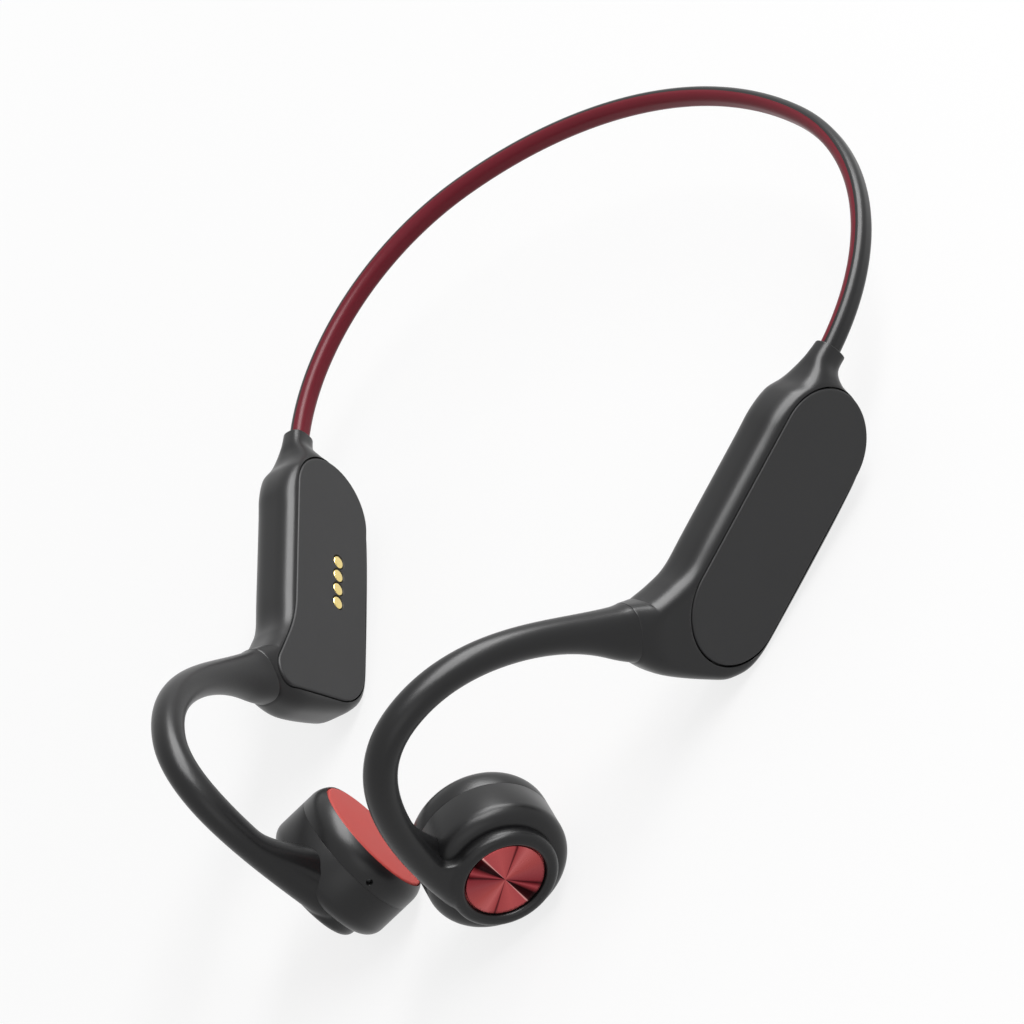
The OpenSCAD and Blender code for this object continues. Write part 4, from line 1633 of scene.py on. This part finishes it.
    def pad_profile(self) -> Array:
        """Profile of the pad: a face with a slight crown and a soft rim.

        Returns:
            Pairs of radius and height.
        """
        r, rim, crown = self.pad_d / 2, self.pad_rim, self.pad_crown
        reach = np.linspace(0, 1, 16)
        face = np.column_stack([reach * (r - rim), crown * reach**2])
        edge = arc([r - rim, crown + rim], rim, -90, 0, 6)
        return np.vstack([face, edge, [[r, self.pad_t], [0, self.pad_t]]])

    def disc(self, pressable: bool) -> Blank:
        """Red disc with shallow facets, a chamfered rim and, where it presses, a flange.

        Args:
            pressable: Whether it is the button and not the fixed trim.

        Returns:
            The disc, in the drum's frame.
        """
        per_cut = 8
        n = 2 * self.disc_cuts * per_cut
        turn = np.linspace(0, math.tau, n, endpoint=False)
        ridge = self.facet * np.abs(1 - np.arange(n) / per_cut % 2)
        r, top = self.disc_d / 2, self.cap_top - self.disc_sink
        middle = top - self.disc_dish
        foot = self.flange_z if pressable else self.drum_len

        def level(radius: float, height: Array | float) -> Array:
            """Ring of points about the drum's axis."""
            round_ring = [radius * np.cos(turn), radius * np.sin(turn)]
            return np.column_stack([*round_ring, np.full(n, height)])

        rings = [level(0.0, middle)]
        # The facets deepen outward and fade at the rim, which stays round
        rings += [
            level(
                k * (r - self.disc_chamfer),
                middle + self.disc_rise * k + ridge * deep - self.facet,
            )
            for k, deep in ((0.04, 0.04), (0.5, 0.5), (0.88, 0.88), (1.0, 0.1))
        ]
        rings += [level(r, top - self.disc_drop)]
        if pressable:
            shelf = foot + self.flange_t
            rings += [level(r, shelf), level(self.flange_r, shelf), level(self.flange_r, foot)]
        else:
            rings += [level(r, foot)]
        return lofted(rings + [level(0.0, foot)], capped=False)

    def mic_hole(self) -> Blank:
        """Cutter for the microphone's hole, with a flared mouth.

        Returns:
            The cutter, in the drum's frame.
        """
        r, reach = self.mic_hole_d / 2, self.radius
        foot = [[0, reach - 2], [r, reach - 2], [r, reach - 0.2]]
        mouth = [[r + 0.15, reach + 0.05], [r + 0.3, reach + 1], [0, reach + 1]]
        turn = Matrix.Rotation(math.radians(self.mic_angle), 4, "Z")
        rise = Matrix.Translation((0, 0, self.pad_t + self.mic_z))
        return lathed(np.array(foot + mouth), 32).moved(turn @ rise @ TO_X)

    def build(self, stand: Stand, side: Side) -> list[Piece]:
        """Makes one drum.

        Args:
            stand: Stand that sets the pieces down.
            side: Side to make.

        Returns:
            The pieces.
        """
        pressable = side is Side.LEFT
        name, points = side.value, self.round_points
        rear = workpiece(f"{name}_drum_rear", lathed(self.rear_profile(pressable), points))
        front = workpiece(f"{name}_drum_front", lathed(self.front_profile(), points))
        pad = workpiece(f"{name}_skin_pad", lathed(self.pad_profile()))
        disc = workpiece(f"{name}_red_disc", self.disc(pressable))
        if side is Side.RIGHT:
            cut(front, self.mic_hole())
        # The painted reflection fans are drawn about the disc's own axis, so each disc has a
        # material of its own
        face = stand.matrix @ side.mirror @ self.matrix
        turned = replace(RED_ANODISED, name=f"{name}_{RED_ANODISED.name}", face=face)
        button = "multifunction_button" if pressable else None
        plan = (
            (rear, SATIN_SHELL, f"{name}_driver_housing", None),
            (front, SATIN_SHELL, f"{name}_driver_front", None),
            (pad, CORAL_SILICONE, f"{name}_contact_pad", None),
            (disc, turned, button or "right_trim_disc", button),
        )
        made = []
        for piece, finish, node, body in plan:
            piece.data.transform(self.matrix)
            made.append(stand.rides(piece, side, finish, node, body=body))
        return made


@dataclass(frozen=True)
class EarHook:
    """Ear hook: a rubbery arch from the pod's root that flows into the ring round the disc."""

    pod: Pod
    driver: Driver
    hook_d: float = 4.8
    hook_end_d: float = 4.2
    crest_h: float = 29.96
    crest_bulge: float = 1.9
    crest_share: float = 0.64
    # How far the arm's end hangs below the drum's axis, and stands out past the ring and below its
    # face
    arm_drop: float = 1.0
    arm_shift: float = 0.4
    root_pull: float = 2.0
    # Angle at which the arch leaves the slanted seam, and the share of its rise that turns square
    # to it
    root_lift: float = 56.0
    square_share: float = 0.2
    crest_pull: float = 16.0
    fall_pull: float = 8.0
    arm_pull: float = 25.0
    root_taper: float = 0.7
    taper_power: float = 3.5
    end_taper: float = 0.6
    # Lengths behind the root that are cut off again, where the arm's end starts to round, the
    # length of the round and its share of a half circle
    root_spare: tuple[float, float] = (1.2, 0.6)
    arm_stop: float = 1.94
    tip_len: float = 0.06
    tip_round: float = 0.92
    # Ring round the disc: the rounds on its outer edge and its opening, and its depth in the drum
    ring_edge: float = 1.1
    ring_rim: float = 0.7
    ring_root: float = 1.0
    # Web between arm and ring: its round and its drop below the ring's face
    web_r: float = 2.6
    web_drop: float = 0.6
    # Foot that spreads over the drum's shoulder: its steps down and inward, and where along the arm
    # it starts, is full and ends
    foot_steps: Pairs = ((1.4, 0.2), (2.6, 0.7), (3.6, 1.5))
    foot_from: float = 1.66
    foot_full: float = 1.92
    foot_to: float = 1.97
    # Grain and smoothing of the melted skin, which make the fillets
    grain: float = 0.2
    passes: int = 14

    @property
    def arm_r(self) -> float:
        """Distance of the arm from the drum's axis."""
        return self.driver.cap_r - self.hook_end_d / 2 + self.arm_shift

    @property
    def arm_z(self) -> float:
        """Height of the arm above the pad's face."""
        return self.driver.cap_top - self.hook_end_d / 2 - self.arm_shift

    @property
    def seam_normal(self) -> Array:
        """Direction square to the seam between the pod and the hook."""
        turn = math.radians(self.pod.root_rise)
        return self.pod.forward * math.cos(turn) + UP * math.sin(turn)

    def curves(self) -> tuple[list[Array], list[Array]]:
        """Runs the arch's middle line.

        Returns:
            Cubic curves from the root to the crest and from the crest to the ring.
        """
        pod, driver = self.pod, self.driver
        turn = math.radians(self.root_lift)
        root = pod.band.boot_mouth + pod.forward * pod.root[0] + UP * pod.root[1]
        rise = pod.forward * math.cos(turn) + UP * math.sin(turn)
        end = driver.pad_centre + driver.axis * self.arm_z + driver.sideways * self.arm_r
        end = end - UP * self.arm_drop
        span = end - root
        run = unit(np.array([span[0], span[1], 0.0]))
        across = np.array([-run[1], run[0], 0.0])
        crest = root + span * self.crest_share + across * self.crest_bulge
        crest[2] = self.crest_h
        return (
            [root, root + rise * self.root_pull, crest - run * self.crest_pull, crest],
            [crest, crest + run * self.fall_pull, end + UP * self.arm_pull, end],
        )

    def taper(self, u: float) -> float:
        """Share of the root's extra size.

        Args:
            u: Place along the arch.

        Returns:
            The share, by length along the arch from 1 at the root to 0.
        """
        rise, _ = self.curves()
        stops = np.linspace(0, self.root_taper, 60)
        run = run_along(np.array([bezier(rise, t) for t in stops]))
        return float(1 - np.interp(u, stops, run / run[-1])) ** self.taper_power

    def ring(self, u: float, shrink: float = 1.0, points: int = 56) -> Array:
        """Points of one section.

        Args:
            u: Place from 0 at the root through 1 at the crest to 2 at the ring.
            shrink: Share of the section's size.
            points: Points round the section.

        Returns:
            Points as worn.
        """
        rise, fall = self.curves()
        leg, t = (rise, u) if u <= 1 else (fall, u - 1)
        place, ahead = bezier(leg, t), bezier_direction(leg, t)
        square = eased(u / self.square_share)
        ahead = unit(self.seam_normal * (1 - square) + ahead * square)
        guide = self.pod.outward * (2 - u) + self.driver.axis * u
        side = unit(guide - ahead * (guide @ ahead))
        up = np.cross(ahead, side)
        taper = self.taper(u)
        thin = self.hook_end_d - self.hook_d
        thin = thin * eased((u - 2 + self.end_taper) / self.end_taper)
        half_t, half_h = (
            shrink * (self.hook_d + (root - self.hook_d) * taper + thin) / 2
            for root in (self.pod.root_t, self.pod.root_h)
        )
        turn = np.linspace(0, math.tau, points, endpoint=False)
        power = 2 / (2 + taper / 2)
        across = np.outer(half_t * signed_power(np.cos(turn), power), side)
        return place + across + np.outer(half_h * signed_power(np.sin(turn), power), up)

    def arm(self) -> Blank:
        """Arch from a little behind the root, where it is cut square later, to a rounded end.

        Returns:
            The arch, as worn.
        """
        first = self.ring(0.0)
        rise, _ = self.curves()
        back = unit(rise[1] - rise[0])
        rings = [first - back * spare for spare in self.root_spare]
        rings += [self.ring(u) for u in np.linspace(0, self.arm_stop, 150)]
        for k in (0.3, 0.6, 0.85, 1.0):
            shrink = math.sqrt(1 - (self.tip_round * k) ** 2)
            rings.append(self.ring(self.arm_stop + self.tip_len * k, shrink))
        return lofted(rings)

    def ring_blank(self) -> Blank:
        """Solid ring round the disc, before its opening is cut.

        Returns:
            The ring, as worn.
        """
        d, edge = self.driver, self.ring_edge
        r, top, foot = d.cap_r, d.cap_top, d.drum_len - self.ring_root
        crest = arc([r - edge, top - edge], edge, 0, 90, 8)
        profile = np.vstack([[[0, foot], [r, foot]], crest, [[0, top]]])
        return lathed(profile, d.round_points).moved(d.matrix)

    def web(self) -> Blank:
        """Web in the notch between the arm and the ring.

        Returns:
            The web, as worn.
        """
        d, w = self.driver, self.web_r
        edge = self.arm_r - self.hook_end_d / 2
        centre = np.array([-math.sqrt((d.cap_r + w) ** 2 - (edge - w) ** 2), w - edge])
        touch = math.degrees(math.atan2(-centre[1], -centre[0]))
        # The web reaches a millimetre into the arm
        inside = -edge - 1
        corners = [[0, 0], [0, inside], [centre[0], inside]]
        loop = np.vstack([arc(centre, w, -90, touch, 16), corners])
        levels = (d.drum_len - self.ring_root, d.cap_top - self.web_drop)
        rings = [np.column_stack([loop, np.full(len(loop), z)]) for z in levels]
        return lofted(rings).moved(d.matrix)

    def foot(self, down: float, inward: float) -> Blank:
        """Layer of the foot that fills the wedge between the arm and the drum's shoulder.

        Args:
            down: Distance by which it reaches toward the pad.
            inward: Distance by which it leans toward the drum's axis.

        Returns:
            The layer, as worn.
        """
        shift = -self.driver.axis * down - self.driver.sideways * inward
        start, span = self.foot_from, self.foot_full - self.foot_from
        stops = np.linspace(start, self.foot_to, 40)
        return lofted([self.ring(u) + shift * eased((u - start) / span) for u in stops])

    def seat_cutter(self) -> Blank:
        """Cutter for the drum's place and for the opening round the disc, with a rounded rim.

        Returns:
            The cutter, as worn.
        """
        d = self.driver
        ledge = d.flange_z + d.flange_t + d.bore_gap
        flange, bore = d.flange_r + d.slide_gap, d.cap_bore
        angles = (0, 15, 30, 45, 60)
        steps = edge_steps(self.ring_rim, angles)
        flare = [[bore + drawn, d.cap_top - back] for drawn, back in steps]
        # The flare runs on straight until it is clear of the ring
        run, lean = 2, math.radians(angles[-1])
        tail = flare[-1] + run * np.array([math.sin(lean), math.cos(lean)])
        drum = [[0, -1], [d.radius, -1], *d.shoulder]
        step = [[flange, d.drum_len], [flange, ledge], [bore, ledge]]
        profile = np.vstack([drum, step, flare, [tail, [0, tail[1]]]])
        return lathed(profile, d.round_points).moved(d.matrix)

    def build(self, stand: Stand, side: Side) -> list[Piece]:
        """Makes one hook.

        Args:
            stand: Stand that sets the piece down.
            side: Side to make.

        Returns:
            The piece, in a list.
        """
        blank = self.arm() + self.ring_blank() + self.web()
        for down, inward in self.foot_steps:
            blank = blank + self.foot(down, inward)
        piece = workpiece(f"{side.value}_hook", blank)
        melted(piece, self.grain, self.passes)
        rise, _ = self.curves()
        cut_square(piece, rise[0], self.seam_normal)
        cut(piece, self.seat_cutter())
        return [stand.rides(piece, side, CHARCOAL_SILICONE, f"{side.value}_ear_hook")]


@dataclass(frozen=True)
class Lamp:
    """A softbox that faces the object."""

    name: str
    place_mm: tuple[float, float, float]
    # Direction that its width follows
    along: tuple[float, float, float]
    # Width and height
    size_mm: tuple[float, float]
    watts: float
    # Whether it is a card that only shows in reflections
    card: bool = False

    def hang(self) -> None:
        """Hangs the lamp in its place."""
        data = bpy.data.lights.new(self.name, "AREA")
        data.shape = "RECTANGLE"
        data.size, data.size_y = (v * MM for v in self.size_mm)
        data.energy = self.watts
        lamp = linked(self.name, data)
        back, along = unit(np.array(self.place_mm, dtype=float)), np.array(self.along)
        width = unit(along - back * (back @ along))
        lamp.matrix_world = posed(Vector(self.place_mm) * MM, width, np.cross(back, width), back)
        lamp.visible_diffuse = not self.card


@dataclass(frozen=True)
class Studio:
    """Pale floor, soft light and the camera at the photograph's viewing angle."""

    # The camera's place round the object, its lean to one side, its lens and its sensor
    azimuth: float = 53.22
    elevation: float = 35.29
    roll: float = 46.02
    distance_mm: float = 648.6
    lens_mm: float = 154.71
    sensor_mm: float = 36.0
    look_mm: tuple[float, float, float] = (0.5, -5.0, 17.2)
    # Nearest and farthest distances that the camera sees, in metres
    clip_m: tuple[float, float] = (0.01, 100.0)
    floor_mm: float = 6000.0
    # Share of the floor that is plain white to the eye, so that the rest of it holds the shadow
    floor_glow: float = 0.8
    # Distances between which the floor turns to plain white, so that it meets the backdrop without
    # an edge
    shadow_reach_mm: tuple[float, float] = (90.0, 400.0)
    # How pale the paper is to the eye, and how much light it throws back up at the object
    paper: float = 0.9
    bounce: float = 0.4
    ambient: float = 0.5
    lamps: tuple[Lamp, ...] = (
        Lamp("key_softbox", (284, 347, 538), (0.3, -0.72, 0.3), (780, 160), 3.6),
        Lamp("reflection_card", (284, 347, 538), (0.3, -0.72, 0.3), (900, 400), 15.0, card=True),
        Lamp("front_fill", (500, -500, 300), (1, 1, 0), (400, 400), 0.4),
    )

    def camera(self) -> None:
        """Sets the camera."""
        a, e, lean = (math.radians(v) for v in (self.azimuth, self.elevation, self.roll))
        ahead = np.array([-math.sin(a) * math.cos(e), math.cos(a) * math.cos(e), -math.sin(e)])
        level = unit(np.cross(ahead, UP))
        upright = np.cross(level, ahead)
        right = level * math.cos(lean) - upright * math.sin(lean)
        up = upright * math.cos(lean) + level * math.sin(lean)
        data = bpy.data.cameras.new("camera")
        data.sensor_width = self.sensor_mm
        data.lens = self.lens_mm
        data.clip_start, data.clip_end = self.clip_m
        camera = linked("camera", data)
        eye = (np.array(self.look_mm) - ahead * self.distance_mm) * MM
        camera.matrix_world = posed(Vector(eye), right, up, -ahead)
        bpy.context.scene.camera = camera

    def seen(self, tree: Tree) -> Socket:
        """Tells which rays show the background, straight or in a reflection.

        Args:
            tree: Node tree of the floor or of the world.

        Returns:
            1 for those rays and 0 for the rest.
        """
        path = add_node(tree, "ShaderNodeLightPath")
        total = path.outputs["Is Camera Ray"]
        for name in ("Is Glossy Ray", "Is Transmission Ray"):
            total = add_node(
                tree, "ShaderNodeMath", {"operation": "MAXIMUM"}, {0: total, 1: path.outputs[name]}
            ).outputs["Value"]
        return total

    def floor(self) -> None:
        """Lays a pale floor that holds the object's shadow."""
        half = self.floor_mm * MM / 2
        mesh = bpy.data.meshes.new("floor")
        corners = [(-half, -half, 0), (half, -half, 0), (half, half, 0), (-half, half, 0)]
        mesh.from_pydata(corners, [], [(0, 1, 2, 3)])
        floor = linked("floor", mesh)
        # Matte white paper: an even white that shows only the soft shadow under the object
        made = bpy.data.materials.new("paper_white_matte")
        tree = cleared(made)
        seen = self.seen(tree)
        shade = add_node(
            tree,
            "ShaderNodeMapRange",
            {"To Min": self.bounce, "To Max": self.paper},
            {"Value": seen},
        )
        paper = add_node(tree, "ShaderNodeBsdfDiffuse", links={"Color": shade.outputs["Result"]})
        white = add_node(tree, "ShaderNodeEmission", {"Strength": 1.0})
        spot = add_node(tree, "ShaderNodeTexCoord").outputs["Object"]
        away = add_node(tree, "ShaderNodeVectorMath", {"operation": "LENGTH"}, {0: spot})
        near, far = (v * MM for v in self.shadow_reach_mm)
        glow = add_node(
            tree,
            "ShaderNodeMapRange",
            {"From Min": near, "From Max": far, "To Min": self.floor_glow, "To Max": 1.0},
            {"Value": away.outputs["Value"]},
        )
        share = add_node(
            tree, "ShaderNodeMath", {"operation": "MULTIPLY"}, {0: seen, 1: glow.outputs["Result"]}
        )
        mix = add_node(
            tree,
            "ShaderNodeMixShader",
            links={0: share.outputs[0], 1: paper.outputs["BSDF"], 2: white.outputs["Emission"]},
        )
        add_node(tree, "ShaderNodeOutputMaterial", links={"Surface": mix.outputs["Shader"]})
        mesh.materials.append(made)

    def world(self) -> None:
        """Sets white surroundings to the eye, and a softer light from all round on the object."""
        world = bpy.data.worlds.new("studio")
        bpy.context.scene.world = world
        tree = cleared(world)
        strength = add_node(
            tree,
            "ShaderNodeMapRange",
            {"To Min": self.ambient, "To Max": 1.0},
            {"Value": self.seen(tree)},
        )
        light = add_node(
            tree,
            "ShaderNodeBackground",
            {"Color": (1, 1, 1, 1)},
            {"Strength": strength.outputs["Result"]},
        )
        add_node(tree, "ShaderNodeOutputWorld", links={"Surface": light.outputs["Background"]})

    def build(self) -> None:
        """Sets the whole studio up."""
        bpy.context.scene.view_settings.view_transform = "Standard"
        self.camera()
        self.floor()
        self.world()
        for lamp in self.lamps:
            lamp.hang()


def dress_inner_nodes(frame: dict[str, Any]) -> list[Piece]:
    """Gives the inner pieces that keep their own solids their finishes.


    Returns:
        The pieces.
    """
    made = []
    for finish, nodes in INNER_NODES.items():
        for node in nodes:
            piece = frame["nodes"][node]
            finish.dress(piece.data)
            made.append(piece)
    return made


def report(pieces: Sequence[Piece]) -> None:
    """Logs each piece with its count of faces and its finish.

    Args:
        pieces: Dressed pieces.
    """
    for piece in pieces:
        mesh = piece.data
        log.info("%s: %d faces, %s", piece.name, len(mesh.polygons), mesh.materials[0].name)


def main() -> None:
    """Builds the headphones and the studio."""
    logging.basicConfig(level=logging.INFO, format="%(message)s")
    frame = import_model()
    band = Band()
    pod = Pod(band)
    driver = Driver()
    hook = EarHook(pod, driver)
    stand = Stand.from_frame(frame, driver.pad_centre)
    for side in Side:
        for part in (band, pod, driver, hook):
            report(part.build(stand, side))
    report(dress_inner_nodes(frame))
    Studio().build()


if __name__ == "__main__":
    main()
